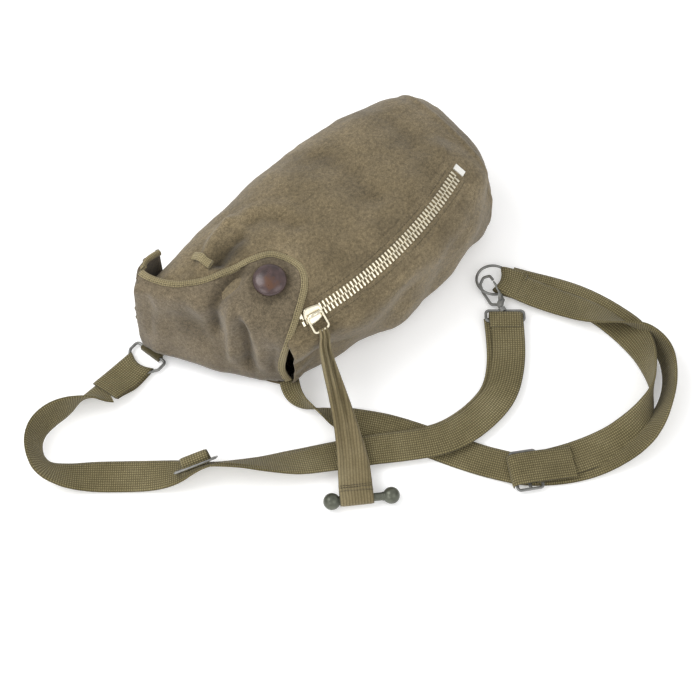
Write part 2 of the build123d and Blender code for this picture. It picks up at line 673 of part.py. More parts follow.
# --------------------------------------------------------------- strap B route
B_LEAD = [(-88.5, -64.0), (-86.5, -79.0), (-78.5, -96.0), (-63.0, -113.5), (-46.0, -137.0), (-30.0, -165.5),
          (-15.0, -195.5), (4.5, -226.0)]
B_OUTER = [(4.5, -226.0), (29.0, -243.5), (58.0, -256.5), (87.0, -261.5), (116.0, -255.5), (141.0, -241.5),
           (157.5, -219.5), (155.5, -195.0), (149.0, -167.0), (137.0, -137.5), (121.0, -112.0), (106.1, -94.5)]
B_INNER = [(4.5, -226.0), (28.0, -239.0), (56.0, -250.5), (80.0, -257.0), (100.5, -254.5), (120.0, -243.0),
           (134.0, -224.0), (141.0, -198.5), (141.5, -170.0), (135.0, -140.0), (121.5, -113.5), (106.1, -94.5)]
strap_b = webbing("strap_b", B_LEAD + B_OUTER[1:], B_LOW)
save(strap_b, "strap_b")
strap_b_return = webbing("strap_b_return", B_INNER, B_TOP)
save(strap_b_return, "strap_b_return")
bd = unit((-8.0, 5.5, 0))
fb = (RING_C[0] - 6.2 * bd[0], RING_C[1] - 6.2 * bd[1])
with BuildPart() as strap_b_ring_fold:
    with BuildSketch(Plane(origin=(fb[0], fb[1], B_LOW), x_dir=(-bd[1], bd[0], 0), z_dir=(0, 0, 1))):
        Rectangle(19.0, WEB_T)
    extrude(amount=B_TOP + WEB_T - B_LOW)
save(strap_b_ring_fold, "strap_b_ring_fold")


# ----------------------------------------------------------- three-bar buckles
def buckle(label, centre, way, z):
    """Pressed slide: two slots, centre bar, rounded corners."""
    with BuildPart() as slide:
        with BuildSketch(Plane(origin=(centre[0], centre[1], z), x_dir=(way[0], way[1], 0), z_dir=(0, 0, 1))):
            RectangleRounded(20.0, 33.0, 3.0)
            with Locations((-5.2, 0), (5.2, 0)):
                Rectangle(5.8, 27.0, mode=Mode.SUBTRACT)
        extrude(amount=1.4)
        fillet(slide.edges().group_by(Axis.Z)[-1], radius=0.4)
    save(slide, label)
    return slide


def buckle_tail(label, centre, way, z_bar, reach):
    """Sewn end of the webbing, folded round the buckle's centre bar."""
    perp = (-way[1], way[0])
    with BuildPart() as tail:
        with BuildSketch(Plane(origin=(centre[0] - 12.5 * perp[0], centre[1] - 12.5 * perp[1], z_bar),
                               x_dir=(way[0], way[1], 0), z_dir=(perp[0], perp[1], 0))) as side:
            s = 1.0 if side.workplanes[0].y_dir.Z > 0 else -1.0
            with BuildLine():
                Polyline((-3.6, s * -1.2), (reach, s * -1.2), (reach, s * -0.2), (-2.6, s * -0.2),
                         (-2.6, s * 1.6), (7.6, s * 1.6), (7.6, s * 2.6), (-3.6, s * 2.6), close=True)
            make_face()
        extrude(amount=25.0)
    save(tail, label)
    return tail


A_WAY = unit((-97.3 + 177.6, -123.8 + 66.5, 0))
buckle_a = buckle("buckle_a", (-177.6, -66.5), A_WAY, 5.8)
buckle_a_tail = buckle_tail("buckle_a_tail", (-177.6, -66.5), A_WAY, 5.8, 34.0)
B_WAY = unit((29.0 - 4.5, -241.0 + 226.0, 0))
buckle_b = buckle("buckle_b", (4.5, -226.0), B_WAY, 3.4)
buckle_b_tail = buckle_tail("buckle_b_tail", (4.5, -226.0), B_WAY, 3.4, 34.0)
print("buckle ways", A_WAY, B_WAY)

# --------------------------------------------------------------- the hood inside
CAN_Y, CAN_Z = 2.0, 43.0


def turned(label, x0, x1, r_out, r_in=0.0):
    with BuildPart() as disc:
        with BuildSketch(Plane(origin=(x0, CAN_Y, CAN_Z), x_dir=(0, 1, 0), z_dir=(1, 0, 0))):
            Circle(r_out)
            if r_in:
                Circle(r_in, mode=Mode.SUBTRACT)
        extrude(amount=x1 - x0)
    return disc


with BuildPart() as filter_canister:
    with BuildSketch(Plane(origin=(0, CAN_Y, CAN_Z), x_dir=(1, 0, 0), z_dir=(0, -1, 0))):
        with BuildLine():
            Polyline((6.2, 0), (6.2, 13.0), (17.0, 13.0), (17.0, 34.0), (21.0, 38.5), (66.0, 38.5), (70.0, 35.0),
                     (74.0, 35.0), (74.0, 0), close=True)
        make_face()
    revolve(axis=Axis((0, CAN_Y, CAN_Z), (1, 0, 0)))
    with BuildSketch(Plane(origin=(5, CAN_Y, CAN_Z), x_dir=(0, 1, 0), z_dir=(1, 0, 0))):
        Circle(10.0)
    extrude(amount=13.0, mode=Mode.SUBTRACT)
save(filter_canister, "filter_canister")
canister_gasket = turned("canister_gasket", 74.2, 75.6, 30.0, 24.0)
save(canister_gasket, "canister_gasket")
with BuildPart() as canister_cap:
    with BuildSketch(Plane(origin=(75.8, CAN_Y, CAN_Z), x_dir=(0, 1, 0), z_dir=(1, 0, 0))):
        Circle(32.0)
    extrude(amount=4.0)
    with BuildSketch(Plane(origin=(79.8, CAN_Y, CAN_Z), x_dir=(0, 1, 0), z_dir=(1, 0, 0))):
        Rectangle(36.0, 8.0)
    extrude(amount=5.0)
save(canister_cap, "canister_cap")
with BuildPart() as half_mask:
    with BuildSketch(Plane(origin=(0, CAN_Y, CAN_Z), x_dir=(1, 0, 0), z_dir=(0, -1, 0))):
        with BuildLine():
            Polyline((-36.0, 28.0), (-36.0, 34.0), (-32.5, 35.0), (-20.0, 31.5), (-6.0, 24.0), (2.0, 17.5), (15.6, 17.5),
                     (15.6, 13.4), (0.5, 13.4), (-8.0, 20.5), (-21.0, 27.5), (-33.0, 30.5), (-34.0, 28.0), close=True)
        make_face()
    revolve(axis=Axis((0, CAN_Y, CAN_Z), (1, 0, 0)))
    with BuildSketch(Plane(origin=(-12.0, CAN_Y, CAN_Z - 34.0), x_dir=(1, 0, 0), z_dir=(0, 0, 1))):
        Circle(7.3)
    extrude(amount=24.0, mode=Mode.SUBTRACT)
save(half_mask, "half_mask")
inhale_valve = turned("inhale_valve", 4.4, 5.8, 12.4)
save(inhale_valve, "inhale_valve")
with BuildPart() as exhale_valve:
    with BuildSketch(Plane(origin=(-12.0, CAN_Y, CAN_Z - 34.0), x_dir=(1, 0, 0), z_dir=(0, 0, 1))):
        Circle(7.0)
    extrude(amount=12.0)
    fillet(exhale_valve.edges().filter_by(GeomType.CIRCLE).group_by(Axis.Z)[0], radius=1.5)
save(exhale_valve, "exhale_valve")
with BuildPart() as hood_pack:
    with BuildSketch(Plane(origin=(-84.0, 4.0, 38.0), x_dir=(0, 1, 0), z_dir=(1, 0, 0))):
        RectangleRounded(84.0, 66.0, 16.0)
    extrude(amount=44.0)
save(hood_pack, "hood_pack")
with BuildPart() as visor_lens:
    with BuildSketch(Plane(origin=(-82.0, 4.0, 71.4), x_dir=(0, 1, 0), z_dir=(1, 0, 0))):
        with BuildLine():
            v1 = ThreePointArc((-27.0, 0.0), (0.0, 2.2), (27.0, 0.0))
            v2 = ThreePointArc((27.0, 1.2), (0.0, 3.4), (-27.0, 1.2))
            Line(v1 @ 1, v2 @ 0)
            Line(v2 @ 1, v1 @ 0)
        make_face()
    extrude(amount=40.0)
save(visor_lens, "visor_lens")
with BuildPart() as neck_seal:
    with BuildSketch(Plane(origin=(-39.6, CAN_Y, CAN_Z), x_dir=(0, 1, 0), z_dir=(1, 0, 0))):
        Circle(33.0)
        Circle(22.0, mode=Mode.SUBTRACT)
    extrude(amount=3.2)
save(neck_seal, "neck_seal")

# extent of the bag without its straps
low = [1e9] * 3
high = [-1e9] * 3
for b in (bag_end_panel, bag_bottom, bag_left_side, bag_right_side, bag_top, mouth_flap, flap_binding, snap_cap,
          tape_upper, tape_lower, zip_slider):
    bb = b.part.bounding_box()
    for i, (p, q) in enumerate(((bb.min.X, bb.max.X), (bb.min.Y, bb.max.Y), (bb.min.Z, bb.max.Z))):
        low[i] = min(low[i], p)
        high[i] = max(high[i], q)
print("bag extent", [round(v, 3) for v in low], [round(v, 3) for v in high])
print("bag centre", [round((low[i] + high[i]) / 2, 3) for i in range(3)])
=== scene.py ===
import json
import math
import bpy
import numpy as np
from mathutils import Vector, Matrix, noise, geometry


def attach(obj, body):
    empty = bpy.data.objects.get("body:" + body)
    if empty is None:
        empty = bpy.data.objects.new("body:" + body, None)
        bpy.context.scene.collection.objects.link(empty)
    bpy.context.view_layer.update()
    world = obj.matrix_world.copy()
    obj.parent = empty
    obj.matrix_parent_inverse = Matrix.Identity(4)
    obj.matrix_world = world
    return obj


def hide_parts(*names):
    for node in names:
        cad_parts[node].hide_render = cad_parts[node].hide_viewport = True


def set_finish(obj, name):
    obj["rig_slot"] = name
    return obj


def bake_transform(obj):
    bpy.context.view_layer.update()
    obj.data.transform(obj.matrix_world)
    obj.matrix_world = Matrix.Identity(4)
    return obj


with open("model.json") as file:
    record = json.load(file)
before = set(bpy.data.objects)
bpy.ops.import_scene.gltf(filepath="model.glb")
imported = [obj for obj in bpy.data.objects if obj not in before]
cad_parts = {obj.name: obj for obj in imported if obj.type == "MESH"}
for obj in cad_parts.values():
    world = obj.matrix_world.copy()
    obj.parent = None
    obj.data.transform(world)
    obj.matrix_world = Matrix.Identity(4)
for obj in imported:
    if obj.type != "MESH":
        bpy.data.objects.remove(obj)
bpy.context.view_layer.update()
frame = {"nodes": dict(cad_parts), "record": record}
MM = 0.001


# ------------------------------------------------------------------ helpers
def unit(v):
    v = np.asarray(v, float)
    return v / np.linalg.norm(v)


def smoothstep(a, b, x):
    t = np.clip((x - a) / (b - a), 0, 1)
    return t * t * (3 - 2 * t)


def mesh_object(name, verts_mm, faces, smooth=True, uv=None):
    """Mesh object from points in mm; uv is one pair per vertex."""
    mesh = bpy.data.meshes.new(name)
    mesh.from_pydata([tuple(c * MM for c in v) for v in verts_mm], [], [tuple(int(i) for i in f) for f in faces])
    if uv is not None:
        layer = mesh.uv_layers.new(name="UVMap")
        idx = np.zeros(len(mesh.loops), np.int32)
        mesh.loops.foreach_get("vertex_index", idx)
        layer.data.foreach_set("uv", np.asarray(uv, np.float32)[idx].ravel())
    mesh.update()
    if smooth:
        mesh.polygons.foreach_set("use_smooth", [True] * len(mesh.polygons))
    ob = bpy.data.objects.new(name, mesh)
    bpy.context.scene.collection.objects.link(ob)
    return ob


def grid_faces(rows, cols, wrap=False, start=0):
    out = []
    for i in range(rows - 1):
        for j in range(cols if wrap else cols - 1):
            a = start + i * cols + j
            b = start + i * cols + (j + 1) % cols
            out.append((a, b, b + cols, a + cols))
    return out


def fbm(p, scale, octaves=3, seed=0.0):
    """Soft noise in -1..1 at points p in mm."""
    out = np.zeros(len(p))
    for i, q in enumerate(p):
        v, amp, s = 0.0, 1.0, 1.0 / scale
        for _ in range(octaves):
            v += amp * noise.noise(Vector((q[0] * s + seed, q[1] * s - seed, q[2] * s + 0.5 * seed)))
            amp *= 0.5
            s *= 2.03
        out[i] = v
    return out


def polyline_distance(p, line):
    """Distance of plan points p (n, 2) to a polyline, and the share along it."""
    best = np.full(len(p), 1e9)
    along = np.zeros(len(p))
    line = np.asarray(line, float)
    seg = np.linalg.norm(np.diff(line, axis=0), axis=1)
    cum = np.concatenate([[0], np.cumsum(seg)])
    for k in range(len(line) - 1):
        a, b = line[k], line[k + 1]
        ab = b - a
        t = np.clip(((p - a) @ ab) / (ab @ ab), 0, 1)
        d = np.linalg.norm(p - (a + t[:, None] * ab), axis=1)
        m = d < best
        best = np.where(m, d, best)
        along = np.where(m, (cum[k] + t * seg[k]) / cum[-1], along)
    return best, along


def fold(p, line, amp, width, fade=0.18):
    d, s = polyline_distance(p, line)
    ends = smoothstep(0.0, fade, s) * smoothstep(1.0, 1.0 - fade, s)
    return amp * np.exp(-(d / width) ** 2) * ends


def set_shade_and_tone(ob, values):
    """Painted shade in the cloth's hollows and painted highlight on its ridges, with random tone, one value per
    vertex.
    """
    att = ob.data.attributes.new("painted_shade_and_tone", "FLOAT", "POINT")
    vals = np.zeros(len(ob.data.vertices), dtype=np.float32)
    vals[:len(values)] = np.clip(values, -0.5, 0.5)
    att.data.foreach_set("value", vals)


# ---------------------------------------------------------------- materials
def new_material(name):
    m = bpy.data.materials.new(name)
    m.use_nodes = True
    nt = m.node_tree
    for n in list(nt.nodes):
        nt.nodes.remove(n)
    out = nt.nodes.new("ShaderNodeOutputMaterial")
    b = nt.nodes.new("ShaderNodeBsdfPrincipled")
    nt.links.new(b.outputs["BSDF"], out.inputs["Surface"])
    return m, nt, b


def coords(nt, kind="Object"):
    n = nt.nodes.new("ShaderNodeTexCoord")
    return n.outputs[kind]


def noise_node(nt, vec, scale, detail=3.0, rough=0.55):
    n = nt.nodes.new("ShaderNodeTexNoise")
    n.inputs["Scale"].default_value = scale
    n.inputs["Detail"].default_value = detail
    n.inputs["Roughness"].default_value = rough
    nt.links.new(vec, n.inputs["Vector"])
    return n.outputs["Fac"]


def ramp_node(nt, fac, stops):
    n = nt.nodes.new("ShaderNodeValToRGB")
    e = n.color_ramp.elements
    while len(e) < len(stops):
        e.new(0.5)
    for k, (pos, col) in enumerate(stops):
        e[k].position = pos
        e[k].color = (*col, 1)
    nt.links.new(fac, n.inputs["Fac"])
    return n.outputs["Color"]


def math_node(nt, op, a, b):
    n = nt.nodes.new("ShaderNodeMath")
    n.operation = op
    for k, v in enumerate((a, b)):
        if isinstance(v, (int, float)):
            n.inputs[k].default_value = v
        else:
            nt.links.new(v, n.inputs[k])
    return n.outputs[0]


def mix_color(nt, fac, a, b, mode="MIX"):
    n = nt.nodes.new("ShaderNodeMix")
    n.data_type = "RGBA"
    n.blend_type = mode
    for sock, v in (("Factor", fac), ("A", a), ("B", b)):
        s = [i for i in n.inputs if i.name == sock and (i.type == "RGBA" or sock == "Factor" and i.type == "VALUE")][0]
        if isinstance(v, (int, float)):
            s.default_value = v
        elif isinstance(v, tuple):
            s.default_value = (*v, 1)
        else:
            nt.links.new(v, s)
    return [o for o in n.outputs if o.type == "RGBA"][0]


def bump_node(nt, height, strength, distance, normal=None):
    n = nt.nodes.new("ShaderNodeBump")
    n.inputs["Strength"].default_value = strength
    n.inputs["Distance"].default_value = distance
    nt.links.new(height, n.inputs["Height"])
    if normal is not None:
        nt.links.new(normal, n.inputs["Normal"])
    return n.outputs["Normal"]


def wave_node(nt, vec, scale, direction="X", distortion=0.0):
    n = nt.nodes.new("ShaderNodeTexWave")
    n.bands_direction = direction
    n.inputs["Scale"].default_value = scale
    n.inputs["Distortion"].default_value = distortion
    n.inputs["Detail"].default_value = 1.0
    nt.links.new(vec, n.inputs["Vector"])
    return n.outputs["Fac"]


def canvas_material(name, base, dark, light, grain=1.0):
    """Worn cotton duck: large stains, faded patches, fine weave, times the painted fold shade and highlight of the
    vertex attribute.
    """
    m, nt, b = new_material(name)
    v = coords(nt)
    big = noise_node(nt, v, 16.0, 4.0, 0.6)
    col = ramp_node(nt, big, [(0.30, dark), (0.50, base), (0.72, light)])
    fine = noise_node(nt, v, 420.0, 4.0, 0.7)
    speck = ramp_node(nt, fine, [(0.36, (0.60, 0.60, 0.58)), (0.52, (1.0, 1.0, 1.0)), (0.68, (1.34, 1.34, 1.32))])
    col = mix_color(nt, 0.75 * grain, col, speck, "MULTIPLY")
    mid = noise_node(nt, v, 85.0, 3.0, 0.6)
    patch = ramp_node(nt, mid, [(0.3, (0.88, 0.88, 0.88)), (0.7, (1.1, 1.09, 1.07))])
    col = mix_color(nt, 0.6, col, patch, "MULTIPLY")
    grit = noise_node(nt, v, 1300.0, 2.0, 0.7)
    gcol = ramp_node(nt, grit, [(0.34, (0.62, 0.62, 0.60)), (0.5, (1.0, 1.0, 1.0)), (0.66, (1.32, 1.32, 1.3))])
    col = mix_color(nt, 0.8, col, gcol, "MULTIPLY")
    # painted shade in the folds' hollows and painted highlight on their ridges, read from the vertex attribute and
    # multiplied into the colour
    att = nt.nodes.new("ShaderNodeAttribute")
    att.attribute_name = "painted_shade_and_tone"
    painted_shade_and_tone = ramp_node(nt, math_node(nt, "ADD", 0.5, att.outputs["Fac"]),
                     [(0.0, (0.34, 0.33, 0.31)), (0.28, (0.70, 0.69, 0.67)), (0.5, (1.0, 1.0, 1.0)), (0.9, (1.30, 1.31, 1.33))])
    col = mix_color(nt, 1.0, col, painted_shade_and_tone, "MULTIPLY")
    nt.links.new(col, b.inputs["Base Color"])
    b.inputs["Roughness"].default_value = 0.95
    b.inputs["Specular IOR Level"].default_value = 0.12
    b.inputs["Sheen Weight"].default_value = 0.18
    b.inputs["Sheen Roughness"].default_value = 0.6
    weave = noise_node(nt, v, 900.0, 2.0, 0.6)
    soft = noise_node(nt, v, 260.0, 3.0, 0.6)
    h = math_node(nt, "ADD", weave, math_node(nt, "MULTIPLY", soft, 1.3))
    nt.links.new(bump_node(nt, h, 0.45, 0.0006), b.inputs["Normal"])
    return m


def webbing_material(name, base, dark, light, rib_u=1.35, rib_v=1.15, depth=0.0005, cut=0.34):
    """Ribbed webbing. UV is in cm across and along the strap."""
    m, nt, b = new_material(name)
    uv = coords(nt, "UV")
    # one band of a wave at scale s is 20 / s wide in coordinate units
    wu = wave_node(nt, uv, 3.14159 / rib_u, "X", 0.25)
    wv = wave_node(nt, uv, 3.14159 / rib_v, "Y", 0.25)
    cell = math_node(nt, "MULTIPLY", wu, wv)
    v = coords(nt)
    big = noise_node(nt, v, 22.0, 3.0, 0.6)
    col = ramp_node(nt, big, [(0.3, dark), (0.5, base), (0.75, light)])
    shade = ramp_node(nt, cell, [(0.0, (cut, cut, cut * 0.97)), (0.30, (0.46 + cut, 0.46 + cut, 0.44 + cut)), (0.8, (1.22, 1.22, 1.19))])
    col = mix_color(nt, 0.95, col, shade, "MULTIPLY")
    fine = noise_node(nt, v, 700.0, 3.0, 0.7)
    speck = ramp_node(nt, fine, [(0.35, (0.78, 0.78, 0.76)), (0.65, (1.15, 1.15, 1.13))])
    col = mix_color(nt, 0.7, col, speck, "MULTIPLY")
    nt.links.new(col, b.inputs["Base Color"])
    b.inputs["Roughness"].default_value = 0.93
    b.inputs["Specular IOR Level"].default_value = 0.12
    b.inputs["Sheen Weight"].default_value = 0.12
    nt.links.new(bump_node(nt, math_node(nt, "ADD", cell, math_node(nt, "MULTIPLY", fine, 0.4)), 0.7, depth),
                 b.inputs["Normal"])
    return m


def metal_material(name, color, rough, metallic=1.0, wear=0.15, coat=0.0, spots=None):
    m, nt, b = new_material(name)
    v = coords(nt)
    n1 = noise_node(nt, v, 140.0, 4.0, 0.6)
    lo = tuple(c * (1 - wear) for c in color)
    hi = tuple(min(1.0, c * (1 + wear)) for c in color)
    col = ramp_node(nt, n1, [(0.35, lo), (0.65, hi)])
    if spots:
        n2 = noise_node(nt, v, 60.0, 3.0, 0.5)
        mask = ramp_node(nt, n2, [(0.58, (0, 0, 0)), (0.68, (1, 1, 1))])
        col = mix_color(nt, mask, col, spots)
    nt.links.new(col, b.inputs["Base Color"])
    b.inputs["Metallic"].default_value = metallic
    n3 = noise_node(nt, v, 300.0, 3.0, 0.6)
    r = math_node(nt, "ADD", rough - 0.08, math_node(nt, "MULTIPLY", n3, 0.16))
    nt.links.new(r, b.inputs["Roughness"])
    b.inputs["Coat Weight"].default_value = coat
    b.inputs["Coat Roughness"].default_value = 0.25
    nt.links.new(bump_node(nt, n3, 0.12, 0.0003), b.inputs["Normal"])
    return m


CANVAS = canvas_material("canvas", (0.174, 0.136, 0.078), (0.134, 0.104, 0.058), (0.228, 0.181, 0.108))
FLAP_CANVAS = canvas_material("flap_canvas", (0.156, 0.124, 0.080), (0.124, 0.098, 0.061), (0.196, 0.158, 0.106))
# darker copy of the canvas for the bag's inside: painted shade of the hollow
SHADED_INSIDE = canvas_material("canvas_inside_shaded", (0.125, 0.100, 0.062), (0.09, 0.072, 0.044), (0.15, 0.122, 0.078))
BINDING = webbing_material("binding", (0.300, 0.250, 0.145), (0.235, 0.195, 0.110), (0.365, 0.310, 0.190), 1.5, 1.5, 0.0004, 0.60)
WEBBING = webbing_material("webbing", (0.248, 0.208, 0.108), (0.196, 0.164, 0.082), (0.312, 0.266, 0.148), 1.9, 1.6, 0.0008)
WEBBING_EDGE = canvas_material("webbing_plain", (0.118, 0.106, 0.046), (0.09, 0.082, 0.034), (0.148, 0.134, 0.064))
PULL = webbing_material("pull_cloth", (0.230, 0.186, 0.104), (0.172, 0.140, 0.074), (0.290, 0.244, 0.146), 2.2, 0.8, 0.0003, 0.56)
ZIP_CLOTH = canvas_material("zip_cloth", (0.125, 0.103, 0.060), (0.10, 0.08, 0.045), (0.15, 0.125, 0.075))
ZIP_METAL = metal_material("zip_metal", (0.80, 0.74, 0.58), 0.32, 1.0, 0.12)
STOP_METAL = metal_material("stop_metal", (0.86, 0.85, 0.80), 0.35, 0.4, 0.05)
CAP_METAL = metal_material("cap_metal", (0.062, 0.036, 0.034), 0.30, 0.25, 0.35, 0.35, (0.105, 0.045, 0.022))
GUNMETAL = metal_material("gunmetal", (0.105, 0.110, 0.085), 0.42, 0.75, 0.25, 0.1)
GREY_STEEL = metal_material("grey_steel", (0.235, 0.235, 0.225), 0.46, 0.65, 0.22)
SPRING_STEEL = metal_material("spring_steel", (0.36, 0.37, 0.36), 0.42, 0.7, 0.18)
RUBBER = metal_material("rubber", (0.018, 0.018, 0.02), 0.62, 0.0, 0.3)
CAN_PAINT = metal_material("can_paint", (0.075, 0.085, 0.05), 0.5, 0.1, 0.15)
CAP_PLASTIC = metal_material("cap_plastic", (0.35, 0.04, 0.03), 0.5, 0.0, 0.1)
VALVE_PLASTIC = metal_material("valve_plastic", (0.5, 0.5, 0.46), 0.5, 0.0, 0.06)
HOOD_FILM = metal_material("hood_film", (0.42, 0.28, 0.06), 0.3, 0.0, 0.12, 0.5)
LENS = metal_material("lens", (0.55, 0.58, 0.54), 0.12, 0.0, 0.03, 0.6)
# dark stitching thread; also the zip bedding's painted shade between the teeth
THREAD_AND_GAP_SHADE = canvas_material("thread_and_gap_shade", (0.06, 0.048, 0.026), (0.05, 0.04, 0.02), (0.075, 0.06, 0.035))
SLOTS = {
    "canvas": CANVAS, "flap_canvas": FLAP_CANVAS, "binding": BINDING, "webbing": WEBBING, "pull_cloth": PULL,
    "zip_cloth": ZIP_CLOTH, "zip_metal": ZIP_METAL, "stop_metal": STOP_METAL, "cap_metal": CAP_METAL,
    "gunmetal": GUNMETAL, "grey_steel": GREY_STEEL, "spring_steel": SPRING_STEEL, "rubber": RUBBER,
    "can_paint": CAN_PAINT, "cap_plastic": CAP_PLASTIC, "valve_plastic": VALVE_PLASTIC, "hood_film": HOOD_FILM,
    "lens": LENS,
}


def dress(ob, material, slot_name, body=None):
    ob.data.materials.clear()
    ob.data.materials.append(material)
    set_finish(ob, slot_name)
    if body:
        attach(ob, body)
    return ob


slot_of = {s["node"]: s["material_slot"] for s in frame["record"]["subparts"]}
for node, ob in frame["nodes"].items():
    ob.data.materials.clear()
    ob.data.materials.append(SLOTS[slot_of[node]])

# -------------------------------------------------------------- camera, light
scene = bpy.context.scene
cam = bpy.data.cameras.new("camera")
cam.lens = 80
cam.sensor_width = 36
cam_ob = bpy.data.objects.new("camera", cam)
scene.collection.objects.link(cam_ob)
cam_ob.location = (-0.4186, -0.5148, 1.0392)
cam_ob.rotation_euler = (Vector((-0.025, -0.062, 0)) - cam_ob.location).to_track_quat("-Z", "Y").to_euler()
scene.camera = cam_ob

floor_mat, nt, b = new_material("floor")
b.inputs["Base Color"].default_value = (0.95, 0.95, 0.95, 1)
b.inputs["Emission Color"].default_value = (1, 1, 1, 1)
b.inputs["Emission Strength"].default_value = 0.22
b.inputs["Roughness"].default_value = 0.9
b.inputs["Specular IOR Level"].default_value = 0.1
floor = mesh_object("floor", [(-3000, -3000, -0.1), (3000, -3000, -0.1), (3000, 3000, -0.1), (-3000, 3000, -0.1)],
                    [(0, 1, 2, 3)], smooth=False)
floor.data.materials.append(floor_mat)


def area_light(name, loc, size, power, target=(0, -0.05, 0.02), color=(1, 1, 1)):
    light = bpy.data.lights.new(name, "AREA")
    light.shape = "DISK"
    light.size = size
    light.energy = power
    light.color = color
    ob = bpy.data.objects.new(name, light)
    scene.collection.objects.link(ob)
    ob.location = loc
    ob.rotation_euler = (Vector(target) - Vector(loc)).to_track_quat("-Z", "Y").to_euler()
    return ob


area_light("key", (-0.70, 0.70, 1.35), 1.1, 11.5)
area_light("fill", (0.1, -1.5, 1.2), 1.3, 6.0)
area_light("side", (-1.4, -0.3, 0.8), 1.1, 5.0)
world = bpy.data.worlds.new("world")
world.use_nodes = True
world.node_tree.nodes["Background"].inputs["Color"].default_value = (1, 1, 1, 1)
world.node_tree.nodes["Background"].inputs["Strength"].default_value = 0.78
scene.world = world
scene.view_settings.view_transform = "Standard"

# ---------------------------------------------------------------- strap lines
HALF_W = 12.5


def nurbs_rows(name, pts):
    """Points and lean angles of a NURBS line through control points (x, y, z, lean), mm and degrees."""
    rows = []
    lean = [p[3] for p in pts]
    for kind in ("place", "lean"):
        curve = bpy.data.curves.new(name + "_" + kind, "CURVE")
        curve.dimensions = "3D"
        curve.resolution_u = 14
        sp = curve.splines.new("NURBS")
        sp.points.add(len(pts) - 1)
        for q, p in zip(sp.points, pts):
            if kind == "place":
                q.co = (p[0] * MM, p[1] * MM, p[2] * MM, 1)
            else:
                q.co = (p[3] * MM, 0.05 * pts.index(p), 0, 1)
        sp.order_u = 3
        sp.use_endpoint_u = True
        sp.resolution_u = 14
        ob = bpy.data.objects.new(name + "_" + kind, curve)
        scene.collection.objects.link(ob)
        mesh = bpy.data.meshes.new_from_object(ob)
        rows.append(np.array([v.co for v in mesh.vertices], float) / MM)
        bpy.data.objects.remove(ob)
        bpy.data.meshes.remove(mesh)
        bpy.data.curves.remove(curve)
    return rows[0], np.radians(rows[1][:, 0])


def clamp_points(pts, half=HALF_W, floor_gap=1.0):
    out = []
    for p in pts:
        x, y, z, a = p
        out.append((x, y, max(z, half * abs(math.sin(math.radians(a))) + floor_gap), a))
    return out


def frames(line, lean):
    t = np.gradient(line, axis=0)
    t /= np.linalg.norm(t, axis=1)[:, None]
    h = np.stack([-t[:, 1], t[:, 0], np.zeros(len(t))], 1)
    h /= np.linalg.norm(h, axis=1)[:, None] + 1e-9
    up = np.cross(t, h)
    w = np.cos(lean)[:, None] * h + np.sin(lean)[:, None] * up
    return t, w, np.cross(t, w)


def ribbon(name, pts, width=25.0, thick=1.7, widths=None, wave=None, ripple=0.35, seed=1.0, material=None):
    """Flat strap that follows a NURBS line. widths: one per line share (share, width)."""
    line, lean = nurbs_rows(name, pts)
    t, w, n = frames(line, lean)
    seg = np.linalg.norm(np.diff(line, axis=0), axis=1)
    s = np.concatenate([[0], np.cumsum(seg)])
    share = s / s[-1]
    wd = np.full(len(line), width) if widths is None else np.interp(share, [q[0] for q in widths], [q[1] for q in widths])
    half = 11
    us = np.linspace(-1, 1, half)
    verts, uv = [], []
    cols = 2 * half
    for i in range(len(line)):
        rip = ripple * noise.noise(Vector((s[i] * 0.045, seed, 0.0)))
        for side in (1, -1):
            for u in (us if side == 1 else us[::-1]):
                edge = 1.0 - 0.55 * max(0.0, abs(u) - 0.82) / 0.18
                off = side * thick / 2 * edge
                lift = rip * u
                if wave is not None:
                    lift += wave(share[i], u)
                p = line[i] + (wd[i] / 2) * u * w[i] + (off + lift) * n[i]
                verts.append(p)
                uv.append((0.1 * (u + 1) * wd[i] / 2, 0.1 * s[i]))
    verts = np.array(verts)
    verts[:, 2] = np.maximum(verts[:, 2], 0.15)
    faces = grid_faces(len(line), cols, wrap=True)
    faces.append(tuple(range(cols)))
    last = (len(line) - 1) * cols
    faces.append(tuple(reversed(range(last, last + cols))))
    ob = mesh_object(name, verts, faces, uv=uv)
    ob.data.materials.append(material or WEBBING)
    length = s[-1]
    print("ribbon %s length %.1f mm" % (name, length))
    return ob, line, length


# straps: x, y, z of the centre line and its lean, 0 flat, 90 on edge
A_LOOP = [(-189.0, 27.5, 7.0, 14.0), (-198.0, 30.0, 8.0, 34.0), (-208.0, 32.0, 10.0, 66.0), (-222.0, 34.5, 12.0, 97.0),
          (-235.0, 36.5, 12.5, 106.0), (-248.0, 34.5, 12.5, 108.0), (-257.5, 27.0, 12.5, 110.0),
          (-263.0, 16.0, 12.0, 117.0), (-263.5, 3.5, 9.0, 136.0), (-253.5, -9.0, 4.0, 160.0),
          (-239.0, -20.5, 2.2, 177.0), (-223.0, -34.0, 2.0, 180.0), (-206.0, -48.5, 2.6, 178.0),
          (-191.0, -60.0, 6.0, 160.0), (-177.6, -68.0, 10.5, 132.0)]
A_FLAT = [(-168.0, -74.0, 11.0, 118.0), (-155.7, -83.0, 10.5, 122.0), (-138.0, -97.5, 8.5, 138.0),
          (-118.0, -110.5, 5.0, 158.0), (-97.3, -122.8, 3.4, 172.0), (-75.0, -135.0, 3.4, 178.0),
          (-47.0, -153.5, 3.6, 180.0), (-27.5, -165.0, 4.4, 180.0), (-9.5, -169.5, 4.6, 180.0),
          (11.6, -170.0, 4.6, 180.0), (32.4, -166.0, 4.2, 180.0), (50.4, -153.5, 3.6, 180.0),
          (66.5, -136.5, 3.6, 180.0), (80.0, -118.5, 4.4, 180.0)]
